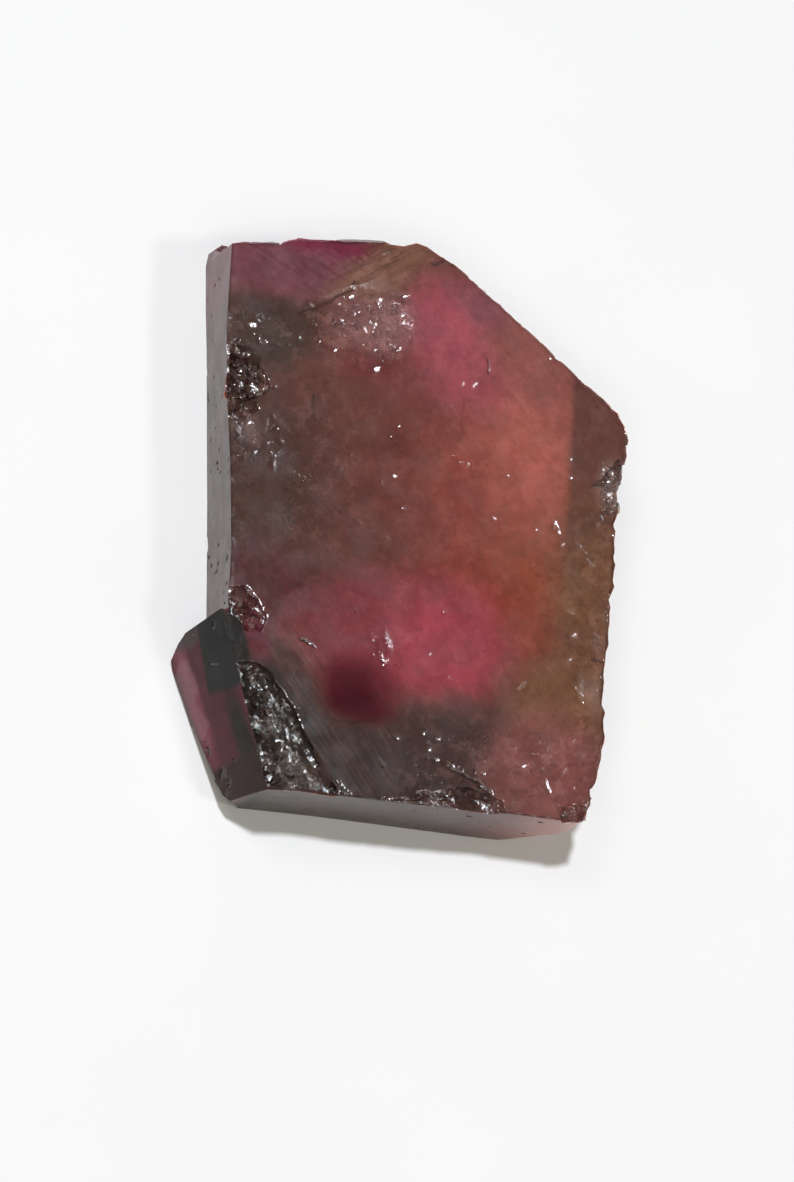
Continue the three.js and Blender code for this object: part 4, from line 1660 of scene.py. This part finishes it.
@dataclass
class Floor:
    """The pale surface that the stone lies on."""

    half: float = 0.8
    finish: FloorFinish = FloorFinish()

    def make(self) -> bpy.types.Object:
        """Builds the floor.

        Returns:
            The floor.
        """
        corners = [(x * self.half, y * self.half, 0.0) for x, y in ((-1, -1), (1, -1), (1, 1), (-1, 1))]
        mesh = bpy.data.meshes.new("floor")
        mesh.from_pydata(corners, [], [(0, 1, 2, 3)])
        mesh.materials.append(self.finish.make())
        floor = bpy.data.objects.new("floor", mesh)
        bpy.context.collection.objects.link(floor)
        return floor


@dataclass(frozen=True)
class Lamp:
    """One lamp of the studio.

    Attributes:
        name: What the lamp is for.
        towards: The way to the lamp from the stone.
        size: Its width in metres.
        watts: Its power.
        tint: Its colour.
        distance: How far off it is, in metres.
    """

    name: str
    towards: Triple
    size: float
    watts: float
    tint: Triple = (1.0, 1.0, 1.0)
    distance: float = 0.6

    def make(self) -> bpy.types.Object:
        """Hangs the lamp, facing the stone.

        Returns:
            The lamp.
        """
        data = bpy.data.lights.new(self.name, "AREA")
        data.shape = "DISK"
        data.size = self.size
        data.energy = self.watts
        data.color = self.tint
        lamp = bpy.data.objects.new(self.name, data)
        away = Vector(self.towards).normalized()
        lamp.location = away * self.distance
        lamp.rotation_mode = "QUATERNION"
        lamp.rotation_quaternion = away.to_track_quat("Z", "Y")
        bpy.context.collection.objects.link(lamp)
        return lamp


WARM = (1.0, 0.97, 0.86)
COOL = (0.965, 1.0, 1.065)


@dataclass
class Studio:
    """Plain soft light: one small lamp nearly overhead, softer fills round it and a dim room."""

    lamps: tuple[Lamp, ...] = (
        Lamp("key", (-0.118, 0.147, 0.982), 0.04, 2.62, COOL),
        Lamp("right fill", (0.4, -0.28, 0.87), 0.08, 0.5, WARM),
        Lamp("front left fill", (-0.3, -0.4, 0.87), 0.2, 0.4, WARM),
        Lamp("back left fill", (-0.36, 0.3, 0.88), 0.2, 0.35, WARM),
        Lamp("front fill", (0.05, -0.52, 0.85), 0.2, 0.2, WARM),
    )
    room: float = 0.1

    def make(self) -> None:
        """Hangs the lamps and sets the room's light."""
        for lamp in self.lamps:
            lamp.make()
        world = bpy.data.worlds.new("room")
        world.use_nodes = True
        world.node_tree.nodes["Background"].inputs["Color"].default_value = (self.room,) * 3 + (1.0,)
        bpy.context.scene.world = world
        bpy.context.scene.view_settings.view_transform = "Standard"


@dataclass
class Camera:
    """A long lens looking down on the stone from its front left.

    Attributes:
        lean_left: Degrees the view leans to the left of straight down.
        lean_front: Degrees it leans to the front.
        distance: From the aim to the lens, in millimetres.
        lens: Focal length in millimetres.
        film: Long side of the film, in millimetres.
        clip: The nearest and farthest distance seen, in metres.
        aim: The drawing place in the middle of the view.
    """

    lean_left: float = 14.2
    lean_front: float = 15.8
    distance: float = 200.0
    lens: float = 142.0
    film: float = 36.0
    clip: Ends = (0.01, 10.0)
    aim: Triple = (0.1, -2.7, 2.5)

    def make(self) -> bpy.types.Object:
        """Places the camera, with the stone's back towards the top of the view.

        Returns:
            The camera.
        """
        to_left, to_front = (math.tan(math.radians(lean)) for lean in (self.lean_left, self.lean_front))
        back = Vector((-to_left, -to_front, 1.0)).normalized()
        up = (Vector((0, 1, 0)) - back * back.y).normalized()
        right = up.cross(back)
        data = bpy.data.cameras.new("camera")
        data.lens = self.lens
        data.sensor_width = self.film
        data.sensor_fit = "AUTO"
        data.clip_start, data.clip_end = self.clip
        camera = bpy.data.objects.new("camera", data)
        place = Vector(self.aim) - Vector(DRAWING_MIDDLE) + back * self.distance
        camera.matrix_world = Matrix.Translation(place * MM) @ Matrix((right, up, back)).transposed().to_4x4()
        bpy.context.collection.objects.link(camera)
        bpy.context.scene.camera = camera
        return camera


def main() -> None:
    """Builds the stone, its stage and the camera, and logs the stone's face count."""
    logging.basicConfig(level=logging.INFO, format="%(message)s", stream=sys.stdout)
    stone = Stone(Skin(), CrystalFinish()).make()
    log.info("%s: %d faces", stone.name, len(stone.data.polygons))
    Floor().make()
    Studio().make()
    Camera().make()


if __name__ == "__main__":
    main()
